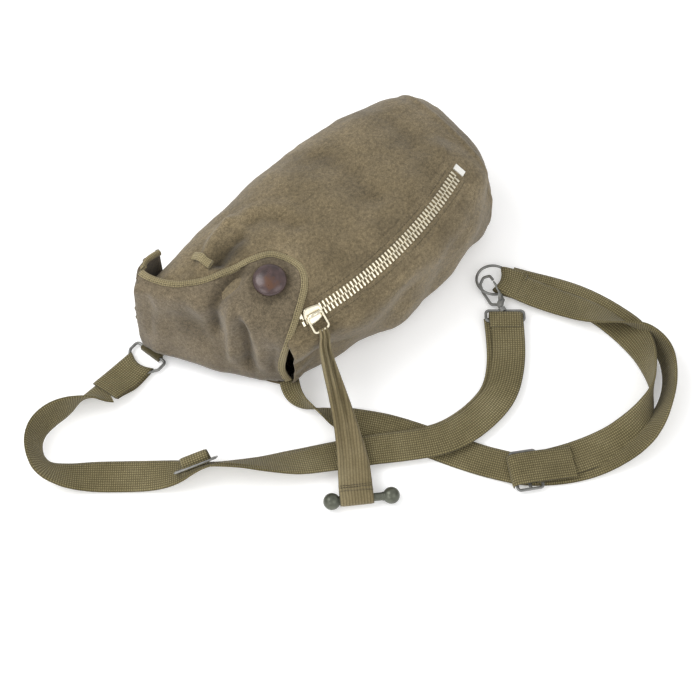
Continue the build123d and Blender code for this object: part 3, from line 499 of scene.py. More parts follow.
A_BACK = [(-171.0, -74.5, 14.0, 118.0), (-157.0, -85.5, 13.0, 121.0), (-139.5, -100.5, 11.0, 138.0),
          (-119.0, -113.5, 8.0, 160.0), (-97.3, -124.3, 6.2, 172.0), (-75.0, -136.5, 5.8, 178.0),
          (-47.0, -155.5, 6.2, 180.0), (-27.5, -167.3, 7.0, 180.0), (-9.5, -172.3, 7.4, 180.0),
          (11.6, -172.8, 7.4, 180.0), (33.4, -168.9, 7.2, 180.0), (52.4, -156.6, 6.8, 180.0),
          (70.0, -139.5, 7.2, 180.0), (84.6, -121.0, 8.6, 180.0)]
B_LEAD = [(-81.0, -56.5, 10.0, 8.0), (-85.5, -64.0, 12.0, 20.0), (-86.5, -74.0, 9.0, 60.0),
          (-83.0, -87.0, 7.0, 112.0), (-75.0, -100.0, 4.0, 158.0), (-61.0, -117.0, 2.0, 178.0),
          (-46.0, -137.0, 1.3, 180.0), (-31.0, -165.0, 1.3, 180.0), (-16.0, -194.5, 1.5, 180.0),
          (-5.0, -212.0, 2.2, 180.0), (5.0, -226.5, 2.6, 180.0)]
B_OUT = [(30.0, -245.0, 1.6, 180.0), (56.0, -257.0, 2.4, 172.0), (82.8, -264.3, 8.0, 148.0),
         (98.9, -263.2, 11.0, 130.0), (113.7, -258.4, 12.5, 116.0), (128.3, -250.8, 12.6, 108.0),
         (140.2, -240.7, 12.6, 105.0), (148.6, -229.6, 12.6, 104.0), (152.2, -217.8, 13.0, 99.0),
         (151.9, -203.4, 13.0, 88.0), (148.0, -191.4, 12.5, 62.0), (141.4, -174.9, 9.5, 32.0),
         (133.5, -158.3, 7.0, 14.0), (125.0, -141.7, 6.2, 8.0), (117.2, -126.3, 6.2, 6.0),
         (110.6, -110.4, 6.6, 4.0), (105.6, -98.0, 7.2, 2.0)]
B_IN = [(8.0, -228.0, 6.2, 0.0), (28.0, -238.0, 4.6, 0.0), (50.0, -246.5, 4.4, 2.0), (70.0, -253.0, 6.4, 10.0),
        (86.0, -255.0, 9.5, 28.0), (99.5, -253.0, 12.0, 50.0), (111.6, -247.8, 12.8, 70.0),
        (122.6, -240.2, 12.6, 88.0), (133.0, -226.9, 12.0, 104.0), (141.1, -212.5, 10.2, 124.0),
        (145.6, -197.2, 7.0, 148.0), (147.0, -181.1, 3.6, 168.0), (144.6, -163.4, 2.8, 176.0),
        (138.5, -143.3, 2.6, 180.0), (128.5, -125.5, 2.6, 180.0), (118.6, -110.5, 2.8, 180.0), (111.0, -98.5, 3.2, 180.0)]

strap_a, line_a, len_a = ribbon("strap_a_web", clamp_points(A_LOOP + A_FLAT), seed=3.1)
strap_ar, line_ar, len_ar = ribbon("strap_a_back_web", clamp_points(A_BACK, floor_gap=3.6), seed=7.7)
strap_b, line_b, len_b = ribbon(
    "strap_b_web", clamp_points(B_LEAD + B_OUT), seed=12.3,
    widths=[(0, 15.0), (0.02, 15.0), (0.05, 15.0), (0.085, 20.0), (0.12, 25.0), (1, 25.0)])
strap_br, line_br, len_br = ribbon("strap_b_back_web", clamp_points(B_IN), seed=19.9)
for ob, node in ((strap_a, "strap_a"), (strap_ar, "strap_a_return"), (strap_b, "strap_b"), (strap_br, "strap_b_return")):
    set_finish(ob, "webbing")
    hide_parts(node)
    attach(ob, "root")


def arch(name, centre, across, along, up, width, profile, thick=1.6, body="root", node=None, material=None):
    """Short folded piece of webbing: profile is (along, up) in mm, extruded across."""
    c, a, l, u = (np.asarray(v, float) for v in (centre, across, along, up))
    prof = np.array(profile, float)
    # even out the profile with a smooth resample
    seg = np.linalg.norm(np.diff(prof, axis=0), axis=1)
    s = np.concatenate([[0], np.cumsum(seg)])
    k = np.linspace(0, s[-1], max(12, int(s[-1] / 0.9)))
    pr = np.stack([np.interp(k, s, prof[:, 0]), np.interp(k, s, prof[:, 1])], 1)
    for _ in range(6):
        pr[1:-1] = 0.25 * pr[:-2] + 0.5 * pr[1:-1] + 0.25 * pr[2:]
    t = np.gradient(pr, axis=0)
    t /= np.linalg.norm(t, axis=1)[:, None] + 1e-9
    nr = np.stack([-t[:, 1], t[:, 0]], 1)
    half = 11
    us = np.linspace(-1, 1, half)
    verts, uv = [], []
    for i in range(len(pr)):
        for side in (1, -1):
            for q in (us if side == 1 else us[::-1]):
                edge = 1.0 - 0.55 * max(0.0, abs(q) - 0.82) / 0.18
                p2 = pr[i] + nr[i] * side * thick / 2 * edge
                verts.append(c + a * q * width / 2 + l * p2[0] + u * p2[1])
                uv.append((0.1 * (q + 1) * width / 2, 0.1 * k[i]))
    verts = np.array(verts)
    verts[:, 2] = np.maximum(verts[:, 2], 0.15)
    cols = 2 * half
    faces = grid_faces(len(pr), cols, wrap=True)
    faces.append(tuple(range(cols)))
    last = (len(pr) - 1) * cols
    faces.append(tuple(reversed(range(last, last + cols))))
    ob = mesh_object(name, verts, faces, uv=uv)
    ob.data.materials.append(material or WEBBING)
    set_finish(ob, "webbing")
    if node:
        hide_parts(node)
    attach(ob, body)
    return ob


# sewn end of strap A round the D-ring's bow
D_Q, D_DIR = np.array([-142.3, 35.3]), unit([-0.985, -0.1726])
d_bar = np.array([-D_DIR[1], D_DIR[0]])
bow = np.array([*(D_Q + 16.4 * D_DIR), 2.9])
end_loop = arch("strap_a_end", bow, (*d_bar, 0), (*D_DIR, 0), (0, 0, 1), 25.0,
                [(31.5, 0.4), (20, -0.9), (8, -1.6), (2, -2.4), (-1.4, -1.9), (-2.4, 0.2), (-1.4, 2.4), (2, 3.0), (8, 2.9),
                 (20, 3.2), (33.0, 3.0)], body="d_ring", node="strap_a_end_loop", thick=1.5)
# the webbing's end bends with the bow: narrower at the ring, a little hollow
co = np.array([v.co for v in end_loop.data.vertices]) / MM
uu = (co[:, :2] - bow[:2]) @ d_bar
vv = (co[:, :2] - bow[:2]) @ D_DIR
near = smoothstep(16.0, -2.0, vv)
co[:, :2] += (near * (uu / 12.5) ** 2 * -4.2)[:, None] * D_DIR[None, :] * 1.0
co[:, :2] += ((-0.10 * uu) * near)[:, None] * d_bar[None, :]
co[:, 2] += 2.2 * smoothstep(6.0, 32.0, vv) + uu * 0.22 * smoothstep(8.0, 33.0, vv)
co[:, :2] -= (2.2 * smoothstep(12.0, 36.0, vv))[:, None] * d_bar[None, :]
for v, c in zip(end_loop.data.vertices, co):
    v.co = c * MM
end_loop.data.update()

print("lengths %.1f %.1f %.1f %.1f" % (len_a, len_ar, len_b, len_br))
# ------------------------------------------------------- bag surface, in mm
ST = np.array([
    (-150.0, 44.0, -36.0, 78.0), (-125.0, 53.0, -49.0, 84.0), (-95.0, 59.5, -58.0, 89.0),
    (-60.0, 65.5, -64.5, 93.0), (-20.0, 72.0, -70.5, 97.0), (25.0, 75.0, -75.0, 98.0),
    (62.0, 73.5, -71.8, 97.2), (98.0, 71.2, -63.0, 95.0), (120.0, 66.5, -54.5, 91.0),
    (133.0, 59.0, -45.0, 85.0), (140.5, 49.0, -35.0, 76.0), (144.3, 38.0, -26.0, 66.0)])
TOP_N, LOW_N, WAIST, BELLY = 2.6, 4.5, 0.46, 1.0
MP, MN, ME = np.array([-109.7, -8.0]), np.array([-0.8682, -0.4962]), np.array([0.4962, -0.8682])


def hermite(x, xs, ys):
    """Smooth curve through stations, without overshoot at the ends."""
    m = np.gradient(ys, xs)
    x = np.clip(x, xs[0], xs[-1])
    i = np.clip(np.searchsorted(xs, x) - 1, 0, len(xs) - 2)
    h = xs[i + 1] - xs[i]
    t = (x - xs[i]) / h
    return ((2 * t ** 3 - 3 * t ** 2 + 1) * ys[i] + (t ** 3 - 2 * t ** 2 + t) * h * m[i]
            + (-2 * t ** 3 + 3 * t ** 2) * ys[i + 1] + (t ** 3 - t ** 2) * h * m[i + 1])


def station(x):
    yl, yr, h = (hermite(x, ST[:, 0], ST[:, k]) for k in (1, 2, 3))
    return (yl - yr) / 2, (yl + yr) / 2, h


def bag_distance(p):
    """Rough distance outside the bag's wall, for points p (n, 3)."""
    a, c, h = station(p[:, 0])
    zc = WAIST * h
    dy, dz = p[:, 1] - c, p[:, 2] - zc
    up = dz > 0
    n = np.where(up, TOP_N, LOW_N)
    b = np.where(up, h - zc, zc + BELLY)
    rho = (np.abs(dy / a) ** n + np.abs(dz / b) ** n) ** (1 / n) + 1e-9
    return (rho - 1) / rho * np.sqrt(dy ** 2 + dz ** 2 + 1e-9)


def smooth_max(a, b, k):
    m = np.clip(0.5 + 0.5 * (a - b) / k, 0, 1)
    return a * m + b * (1 - m) + k * m * (1 - m)


def mouth_distance(p):
    return (p[:, :2] - MP) @ MN


def flap_distance(p):
    """As the bag, but its left corner stands up square and clear of the bag."""
    a, c, h = station(p[:, 0])
    near = smoothstep(-92.0, -122.0, p[:, 0])
    left = smoothstep(0.1, 0.6, (p[:, 1] - c) / a) * near
    a = a + 3.0 * left
    c = c + 2.0 * left
    h = h + 3.0 * left
    zc = WAIST * h
    dy, dz = p[:, 1] - c, p[:, 2] - zc
    up = dz > 0
    n = np.where(up, TOP_N + 6.0 * left, LOW_N)
    b = np.where(up, h - zc, zc + BELLY)
    rho = (np.abs(dy / a) ** n + np.abs(dz / b) ** n) ** (1 / n) + 1e-9
    d = (rho - 1) / rho * np.sqrt(dy ** 2 + dz ** 2 + 1e-9)
    side = (p[:, 0] - MP[0]) * ME[0] + (p[:, 1] - MP[1]) * ME[1]
    belly = 9.0 * smoothstep(-66.0, -44.0, side) * smoothstep(50.0, -4.0, side) * smoothstep(66.0, 14.0, p[:, 2])
    return smooth_max(d, mouth_distance(p) - 1.5 * left - belly, 12.0 - 6.0 * left) - 2.2


# the flap is a sheet of single height seen along FD, outside and above the mouth
FD = unit([MN[0] * math.cos(math.radians(47)), MN[1] * math.cos(math.radians(47)), math.sin(math.radians(47))])
FP = np.array([ME[0], ME[1], 0.0])
FQ = np.cross(FD, FP)
FQ = FQ if FQ[2] > 0 else -FQ
FO = np.array([-109.7, -8.0, 45.0])


def flap_point(pq):
    """Point of the flap's surface for each (p, q), by stepping in along FD."""
    pq = np.asarray(pq, float)
    base = FO + pq[:, :1] * FP + pq[:, 1:2] * FQ
    lo, hi = np.full(len(pq), -140.0), np.full(len(pq), 140.0)
    # march in from outside to the first crossing
    best = np.full(len(pq), np.nan)
    prev = flap_distance(base + 140.0 * FD)
    steps = np.arange(140.0, -120.0, -2.0)
    for s in steps:
        d = flap_distance(base + s * FD)
        hit = np.isnan(best) & (d <= 0)
        best[hit] = s
    best = np.where(np.isnan(best), -60.0, best)
    lo, hi = best, best + 2.0
    for _ in range(18):
        m = (lo + hi) / 2
        d = flap_distance(base + m[:, None] * FD)
        lo, hi = np.where(d <= 0, m, lo), np.where(d <= 0, hi, m)
    return base + ((lo + hi) / 2)[:, None] * FD


# ------------------------------------------------------------------ zip frame
ZM, ZE = np.array([-64.0, -54.0, 77.0]), np.array([102.0, -38.0, 89.5])
ZSAG, ZTILT = 11.0, math.radians(36.0)
z1 = unit(ZE - ZM)
z3 = unit(np.array([0, 0, 1.0]) - z1[2] * z1)
z2 = np.cross(z3, z1)
zh = np.linalg.norm(ZE - ZM) / 2
ZR = (zh ** 2 + ZSAG ** 2) / (2 * ZSAG)
ZC = (ZM + ZE) / 2 + (ZR - ZSAG) * z2
Z0 = -math.asin(zh / ZR)
Z1 = -Z0


def zip_axes(a):
    r = z1 * math.sin(a) - z2 * math.cos(a)
    t = z1 * math.cos(a) + z2 * math.sin(a)
    w = r * math.cos(ZTILT) - z3 * math.sin(ZTILT)
    n = r * math.sin(ZTILT) + z3 * math.cos(ZTILT)
    return r, t, w, n


def zip_point(a, w=0.0, n=0.0):
    r, t, wv, nv = zip_axes(a)
    return ZC + ZR * r + w * wv + n * nv


def zip_coords(p):
    d = p - ZC
    ax = d @ z3
    x, y = d @ z1, -(d @ z2)
    a = np.arctan2(x, y)
    dr = np.hypot(x, y) - ZR
    return a, dr * math.cos(ZTILT) - ax * math.sin(ZTILT), dr * math.sin(ZTILT) + ax * math.cos(ZTILT)


# ------------------------------------------------------------------- bag body
def section(x, count):
    """Evenly spaced closed outline of the bag at x, starting under the bag."""
    a, c, h = (float(v[0]) for v in station(np.array([x])))
    zc = WAIST * h
    t = np.linspace(-math.pi / 2, 1.5 * math.pi, 1441)
    cs, sn = np.cos(t), np.sin(t)
    n = np.where(sn > 0, TOP_N, LOW_N)
    b = np.where(sn > 0, h - zc, zc + BELLY)
    y = c + a * np.sign(cs) * np.abs(cs) ** (2 / n)
    z = zc + b * np.sign(sn) * np.abs(sn) ** (2 / n)
    z = np.maximum(z, 0.5)
    s = np.concatenate([[0], np.cumsum(np.hypot(np.diff(y), np.diff(z)))])
    k = np.linspace(0, s[-1], count + 1)[:-1]
    return np.stack([np.full(count, x), np.interp(k, s, y), np.interp(k, s, z)], 1)


COLS, ROWS = 300, 210
xs = np.linspace(-150.0, 144.3, 260)
xs = np.concatenate([xs[xs < 128], np.linspace(128, 144.3, 40)])
table = np.stack([section(x, COLS) for x in xs])            # (k, col, 3)
g = (table[:, :, :2] - MP) @ MN                             # outside the mouth where positive
rim = 5.0 * smoothstep(60.0, 92.0, table[:, :, 2]) * smoothstep(5.0, 40.0, table[:, :, 1])
g = g + rim
grid = np.zeros((ROWS, COLS, 3))
share = np.linspace(0, 1, ROWS) ** 1.0
for j in range(COLS):
    k = int(np.argmax(g[:, j] < 0))
    f = g[k - 1, j] / (g[k - 1, j] - g[k, j]) if k > 0 else 0.0
    kk = (k - 1 + f) + (len(xs) - 1 - (k - 1 + f)) * share
    i0 = np.clip(np.floor(kk).astype(int), 0, len(xs) - 2)
    fr = (kk - i0)[:, None]
    grid[:, j] = table[i0, j] * (1 - fr) + table[i0 + 1, j] * fr
# closed end: rounded in to a point
CAPS = 34
rimpts = grid[-1]
centre = rimpts.mean(0)
caps = []
for i in range(1, CAPS):
    q = 1 - i / (CAPS - 0.2)
    ring = centre + (rimpts - centre) * q
    ring[:, 0] = 144.3 + 1.6 * (1 - q ** 2) ** 0.5
    caps.append(ring)
grid = np.concatenate([grid, np.array(caps)])
nrm = np.zeros_like(grid)
du = np.gradient(grid, axis=0)
dv = (np.roll(grid, -1, axis=1) - np.roll(grid, 1, axis=1)) / 2
nrm = np.cross(dv, du)
ln = np.linalg.norm(nrm, axis=2, keepdims=True)
nrm = nrm / (ln + 1e-9)
mid_row = grid[:ROWS].mean(axis=1, keepdims=True)
if (np.sum(nrm[:ROWS] * (grid[:ROWS] - mid_row))) < 0:
    nrm = -nrm
P = grid.reshape(-1, 3)
N = nrm.reshape(-1, 3)
za, zw, zn = zip_coords(P)
along = (za - Z0) * ZR                                      # mm along the chain
zip_len = (Z1 - Z0) * ZR
near_zip = smoothstep(34.0, 15.0, np.abs(zw)) * smoothstep(-26.0, -6.0, along) * smoothstep(zip_len + 26.0, zip_len + 8.0, along)
near_zip *= (P[:, 2] > 40)
off_floor = smoothstep(1.0, 14.0, P[:, 2])
xy = P[:, :2]
d = 2.2 * fbm(P, 62.0, 2, 4.2) + 1.0 * fbm(P, 27.0, 2, 9.1) + 0.30 * fbm(P, 9.0, 2, 1.7)
top = smoothstep(50.0, 80.0, P[:, 2])
# soft folds of the top, from the mouth towards the middle
d += top * fold(xy, [(-98, 20), (-88, 27), (-75, 33), (-60, 39), (-46, 42)], 4.2, 3.6)
d += top * fold(xy, [(-90, 14), (-79, 19), (-66, 22), (-50, 22)], -5.0, 6.5)
d += top * fold(xy, [(-60, 38), (-38, 34), (-20, 18), (-12, -4)], 2.2, 6.0)
d += top * fold(xy, [(-56, 26), (-36, 24), (-24, 8), (-22, -8)], -2.2, 8.0)
d += top * fold(xy, [(34, 52), (40, 22), (37, -6), (32, -30)], -3.2, 13.0)
d += top * fold(xy, [(70, 60), (64, 20), (60, -10), (56, -34)], 1.8, 14.0)
d += top * fold(xy, [(96, 44), (92, 10), (90, -18), (84, -34)], -1.8, 9.0)
d += top * fold(xy, [(-10, 66), (4, 40), (10, 14), (8, -14)], 1.4, 12.0)
# painted shade in the fold hollows and painted highlight on the ridges, from the fold height, a darker painted line in
# the valley by the mouth, and random tone
bag_shade_and_tone = (d - 2.2 * fbm(P, 62.0, 2, 4.2)) * 0.07
bag_shade_and_tone -= top * fold(xy, [(-94, 14), (-82, 16), (-70, 15), (-58, 12)], 0.30, 7.5)
bag_shade_and_tone += 0.10 * fbm(P, 34.0, 3, 14.2)
# pull of the zip: small puckers square to the chain, below and above it
puck = np.sin(along / 5.2 + 1.6 * np.sin(along / 23.0)) * np.exp(-((np.abs(zw) - 19.0) / 9.0) ** 2)
d += 0.75 * puck * (P[:, 2] > 40) * smoothstep(-6.0, 12.0, along) * smoothstep(zip_len + 12.0, zip_len - 8.0, along)
low_side = (P[:, 1] < -20) * smoothstep(74.0, 50.0, P[:, 2])
d += low_side * (1.7 * np.sin(P[:, 0] / 17.0 + P[:, 2] / 21.0) + 1.2 * np.sin(P[:, 0] / 8.6 - P[:, 2] / 13.0 + 1.0))
# seam ridge of the end panel
ridge_x = 122.0 + 0.02 * (P[:, 2] - 40)
slope = np.exp(-((P[:, 0] - (126.0 + 5.0 * np.sin(P[:, 2] / 30.0))) / 1.5) ** 2)
d += 1.1 * slope
# gathers at the mouth
rowidx = np.repeat(np.arange(len(grid)), COLS)
at_mouth = smoothstep(24.0, 0.0, rowidx.astype(float))
d += at_mouth * 0.9 * np.sin(np.tile(np.arange(COLS), len(grid)) / COLS * 2 * math.pi * 21)
d *= off_floor
P = P + N * d[:, None]
za, zw, zn = zip_coords(P)
nv = np.array([zip_axes(a)[3] for a in za])
target = -0.9 + 0.35 * np.sin(along / 6.5) * smoothstep(7.0, 14.0, np.abs(zw))
P = P + nv * ((target - zn) * near_zip)[:, None]
P[:, 2] = np.maximum(P[:, 2], 1.6)
verts = [tuple(v) for v in P]
verts.append((146.0, float(centre[1]), float(centre[2])))
faces = [(f[3], f[2], f[1], f[0]) for f in grid_faces(len(grid), COLS, wrap=True)]
last = (len(grid) - 1) * COLS
tip = len(verts) - 1
faces += [(last + (j + 1) % COLS, last + j, tip) for j in range(COLS)]
bag = mesh_object("bag_cloth", verts, faces)
bag.data.materials.append(CANVAS)
# painted light and shade on the zip puckers, painted highlight on the end panel's seam ridge with painted shade beside
# it, painted shade along the welts' edges, and a thin darker line 24.5 mm either side of the chain
bag_shade_and_tone += 0.07 * puck * np.exp(-((np.abs(zw) - 17.0) / 8.0) ** 2) * near_zip
bag_shade_and_tone += 0.12 * slope - 0.10 * np.exp(-((P[:, 0] - 131.0) / 4.0) ** 2)
bag_shade_and_tone -= 0.16 * np.exp(-((np.abs(zw) - 14.8) / 0.7) ** 2) * near_zip
bag_shade_and_tone -= 0.10 * np.exp(-((np.abs(zw) - 24.5) / 0.5) ** 2) * near_zip
# painted shade low on the bag, near the floor
bag_shade_and_tone -= 0.22 * smoothstep(26.0, 2.0, P[:, 2])
set_shade_and_tone(bag, bag_shade_and_tone)


def thicken(ob, thick, offset=-1.0):
    mod = ob.modifiers.new("cloth", "SOLIDIFY")
    mod.thickness = thick * MM
    mod.offset = offset
    mod.use_rim = True
    return mod


thicken(bag, 1.4)
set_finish(bag, "canvas")
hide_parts("bag_bottom", "bag_left_side", "bag_right_side", "bag_top", "bag_end_panel")
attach(bag, "root")


def surface_strip(name, line, nline, inward, profile, material, uvscale=0.1, closed=False):
    """Sweep of a closed profile (in, out) along a line lying on a surface."""
    line, nline, inward = (np.asarray(v, float) for v in (line, nline, inward))
    prof = np.asarray(profile, float)
    m = len(prof)
    seg = np.linalg.norm(np.diff(line, axis=0), axis=1)
    s = np.concatenate([[0], np.cumsum(seg)])
    pl = np.concatenate([[0], np.cumsum(np.linalg.norm(np.diff(prof, axis=0), axis=1))])
    verts, uv = [], []
    for i in range(len(line)):
        for q in range(m):
            verts.append(line[i] + inward[i] * prof[q, 0] + nline[i] * prof[q, 1])
            uv.append((pl[q] * uvscale, s[i] * uvscale))
    faces = grid_faces(len(line), m, wrap=True)
    if not closed:
        faces.append(tuple(range(m)))
        lastrow = (len(line) - 1) * m
        faces.append(tuple(reversed(range(lastrow, lastrow + m))))
    ob = mesh_object(name, verts, faces, uv=uv)
    ob.data.materials.append(material)
    return ob


def smooth_line(pts, step):
    """Catmull-Rom line through points, evenly spaced."""
    pts = np.asarray(pts, float)
    ext = np.concatenate([[2 * pts[0] - pts[1]], pts, [2 * pts[-1] - pts[-2]]])
    out = []
    for i in range(1, len(ext) - 2):
        p0, p1, p2, p3 = ext[i - 1:i + 3]
        for t in np.linspace(0, 1, 24, endpoint=False):
            out.append(0.5 * ((2 * p1) + (-p0 + p2) * t + (2 * p0 - 5 * p1 + 4 * p2 - p3) * t ** 2
                              + (-p0 + 3 * p1 - 3 * p2 + p3) * t ** 3))
    out.append(pts[-1])
    out = np.array(out)
    s = np.concatenate([[0], np.cumsum(np.linalg.norm(np.diff(out, axis=0), axis=1))])
    k = np.linspace(0, s[-1], max(2, int(round(s[-1] / step)) + 1))
    return np.stack([np.interp(k, s, out[:, c]) for c in range(out.shape[1])], 1)


# ----------------------------------------------------------------- mouth flap
EDGE = [(-63.0, 38.6), (-60.8, 37.9), (-53.7, 36.6), (-43.6, 36.4), (-32.4, 37.7), (-23.7, 40.4), (-16.0, 43.8), (-8.0, 48.7),
        (-0.6, 54.9), (7.3, 61.4), (15.9, 68.2), (25.2, 73.5), (32.7, 74.4), (40.7, 73.8), (48.3, 71.9),
        (53.2, 69.0), (57.1, 63.6), (59.5, 55.7), (60.1, 47.2), (60.1, 37.8), (59.6, 26.5), (57.9, 13.8),
        (55.1, 0.7), (53.5, -10.0), (54.9, -16.9), (57.5, -21.0)]
edge = smooth_line(EDGE, 1.5)
FOOT_Q = -29.3
foot = np.array([(p, FOOT_Q) for p in np.linspace(57.0, -60.0, 78)])
right_low = smooth_line([(57.5, -21.0), (58.4, -25.5), (57.0, FOOT_Q)], 1.5)[1:-1]
left_side = smooth_line([(-60.0, FOOT_Q), (-62.6, -21.0), (-62.6, -5.0), (-61.0, 10.5), (-60.4, 24.0), (-62.0, 33.0), (-63.0, 38.6)], 1.5)[1:-1]
loop = np.concatenate([edge, right_low, foot, left_side])
gx, gy = np.meshgrid(np.arange(-62, 60.5, 1.9), np.arange(-29, 75, 1.9))
gx = gx + 0.95 * (np.arange(gx.shape[0]) % 2)[:, None]
inner = np.stack([gx.ravel(), gy.ravel()], 1)


def inside(pts, poly):
    x, y = pts[:, 0], pts[:, 1]
    res = np.zeros(len(pts), bool)
    j = len(poly) - 1
    for i in range(len(poly)):
        xi, yi, xj, yj = poly[i, 0], poly[i, 1], poly[j, 0], poly[j, 1]
        c = ((yi > y) != (yj > y)) & (x < (xj - xi) * (y - yi) / (yj - yi + 1e-12) + xi)
        res ^= c
        j = i
    return res


inner = inner[inside(inner, loop)]
dist = np.full(len(inner), 1e9)
for q in loop:
    dist = np.minimum(dist, np.hypot(inner[:, 0] - q[0], inner[:, 1] - q[1]))
inner = inner[dist > 1.1]
pts2 = np.concatenate([loop, inner])
nl = len(loop)
cdt = geometry.delaunay_2d_cdt([Vector((float(a), float(b))) for a, b in pts2],
                               [(i, (i + 1) % nl) for i in range(nl)], [], 1, 1e-5)
pq = np.array([(v.x, v.y) for v in cdt[0]])
tri = [tuple(f) for f in cdt[2]]


def flap_surface(pq):
    """Flap points with their folds."""
    p0 = flap_point(pq)
    e = 0.6
    pu = flap_point(pq + np.array([e, 0])) - flap_point(pq - np.array([e, 0]))
    pv = flap_point(pq + np.array([0, e])) - flap_point(pq - np.array([0, e]))
    n = np.cross(pu, pv)
    n /= np.linalg.norm(n, axis=1)[:, None] + 1e-9
    n = np.where((n @ FD)[:, None] < 0, -n, n)
    d = 1.3 * fbm(p0, 46.0, 2, 3.3) + 0.7 * fbm(p0, 17.0, 2, 6.1) + 0.16 * fbm(p0, 6.0, 2, 8.8)
    d += fold(pq, [(17, 61), (9, 53), (2.5, 42), (1.0, 31), (0.8, 17), (2.0, -2)], -6.6, 5.6, 0.22)
    d += fold(pq, [(12.6, 42), (13.8, 28), (13.4, 12), (14.0, -8), (15, -20)], 4.6, 3.4, 0.25)
    d += fold(pq, [(21.5, 28), (24.5, 14), (26.6, -4), (27.6, -24)], -5.6, 4.4, 0.25)
    d += fold(pq, [(14.8, 40), (26, 27), (34.5, 8), (37.0, -12), (37.5, -22)], 3.2, 4.0, 0.22)
    d += fold(pq, [(51, 14), (46.6, -4), (43.9, -20)], -2.2, 3.2, 0.3)
    d += fold(pq, [(54.5, 30), (52.5, 12), (49, -6), (48, -18)], 1.4, 2.6, 0.3)
    d += fold(pq, [(-30, 27), (-17, 15), (-8, 0), (-3, -16)], -2.0, 9.0, 0.3)
    d += fold(pq, [(-51, 32), (-49, 14), (-51, -6), (-50, -24)], -2.0, 4.2, 0.25)
    d += fold(pq, [(-44, 30), (-42, 10), (-43, -10), (-42, -22)], 1.2, 5.0, 0.3)
    d += fold(pq, [(-28, 38), (-22, 30), (-14, 24), (-6, 14)], 1.2, 6.0, 0.3)
    cap = np.hypot(pq[:, 0] - 33.3, pq[:, 1] - 55.7)
    d = d * smoothstep(6.0, 26.0, cap) - 0.6 * np.exp(-(cap / 11.0) ** 2)
    q = p0 + n * d[:, None]
    q[:, 2] = np.maximum(q[:, 2], 1.6)
    return q, n


fp, fn = flap_surface(pq)
# left return: the flap goes round the corner and back along the bag's left side
left_ids = [i for i in range(nl) if i >= len(edge) + len(right_low) + len(foot)]
corner_ids = left_ids + [0]
verts = [tuple(v) for v in fp]
faces = list(tri)
cdt_index = {}
for new, olds in enumerate(cdt[3]):
    for o in olds:
        cdt_index.setdefault(o, new)
col0 = [cdt_index[i] for i in corner_ids]
BACK = 15
top_z = float(fp[cdt_index[0]][2])
prev = col0
ret_top = []
ret_n = []
for k in range(1, BACK + 1):
    row = []
    s = k / BACK
    for m, i0 in enumerate(col0):
        base = fp[i0]
        hgt = (base[2] - 2.0) / (top_z - 2.0)
        x_free = -106.5 - 26.0 * (1 - smoothstep(0.10, 0.52, hgt))
        x = base[0] + s * max(4.0, float(x_free) - base[0])
        a_, c_, h_ = (float(v[0]) for v in station(np.array([x])))
        wall = c_ + a_ + 3.6 - 9.0 * smoothstep(20.0, 0.0, base[2]) - 1.5 * smoothstep(70.0, 92.0, base[2]) * s
        y = base[1] + (wall - base[1]) * smoothstep(0.0, 0.35, s)
        z = base[2] + 2.0 * math.sin(math.pi * s) * hgt - 4.0 * s * hgt
        row.append(len(verts))
        verts.append((x, y, max(z, 1.6)))
    for m in range(len(col0) - 1):
        faces.append((prev[m], prev[m + 1], row[m + 1], row[m]))
    prev = row
    ret_top.append(verts[row[-1]])
flap = mesh_object("flap_cloth", verts, faces)
flap.data.materials.append(FLAP_CANVAS)


def flap_shade_and_tone(q):
    # painted shade along the flap's fold hollows and painted highlight along its ridges
    t = fold(q, [(20, 64), (13, 60), (7.5, 55), (1.5, 45), (-0.5, 33), (0.2, 17), (2.0, -2)], -0.40, 4.6, 0.16)
    t += fold(q, [(12.6, 42), (13.8, 28), (13.4, 12), (14.0, -8), (15, -20)], 0.16, 2.6, 0.25)
    t += fold(q, [(19.5, 34), (21.5, 26), (24.5, 12), (26.6, -6), (27.6, -24)], -0.30, 4.2, 0.25)
    t += fold(q, [(14.8, 40), (26, 27), (34.5, 8), (37.0, -12), (37.5, -22)], 0.14, 3.0, 0.22)
    t += fold(q, [(46, 4), (44.6, -6), (43.9, -20)], -0.16, 2.6, 0.3)
    t += fold(q, [(-34, 14), (-20, 8), (-8, 0), (2, -14)], -0.14, 11.0, 0.3)
    t += fold(q, [(-52, 30), (-50, 12), (-52, -6), (-50, -24)], 0.10, 4.0, 0.25)
    t += fold(q, [(-44, 26), (-36, 10), (-40, -10), (-40, -22)], 0.08, 6.0, 0.3)
    # painted shade in a ring round the snap cap's rim
    cap_d = np.hypot(q[:, 0] - 33.3, q[:, 1] - 55.7)
    t -= 0.28 * np.exp(-((cap_d - 13.5) / 2.6) ** 2)
    t += 0.10 * fbm(np.column_stack([q, np.zeros(len(q))]), 22.0, 3, 5.2)
    # painted shade towards the flap's lower edge
    return t - 0.10 * smoothstep(-12.0, -29.0, q[:, 1])


# the return round the bag's side gets an even painted shade
set_shade_and_tone(flap, np.concatenate([flap_shade_and_tone(pq), np.full(len(verts) - len(pq), -0.28)]))
bm_n = np.array([p.normal for p in flap.data.polygons])
if (bm_n[:len(tri)] @ FD).mean() < 0:
    flap.data.flip_normals()
thicken(flap, 1.3, -1.0)
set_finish(flap, "flap_canvas")
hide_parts("mouth_flap")
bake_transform(flap)

# the bag's cloth is pressed in under the flap
bco = np.array([v.co for v in bag.data.vertices]) / MM
bpq = np.stack([(bco - FO) @ FP, (bco - FO) @ FQ], 1)
under = inside(bpq, loop)
ids = np.nonzero(under)[0]
over, _ = flap_surface(bpq[ids])
lift = (over - bco[ids]) @ FD
push = np.where(lift < 26.0, np.minimum(0.0, lift - 3.8), 0.0)
push = np.where(lift < -14.0, 0.0, push)
bco[ids] += push[:, None] * np.asarray(FD)[None, :]
bco[:, 2] = np.maximum(bco[:, 2], 1.6)
bag.data.vertices.foreach_set("co", (bco * MM).ravel())
bag.data.update()

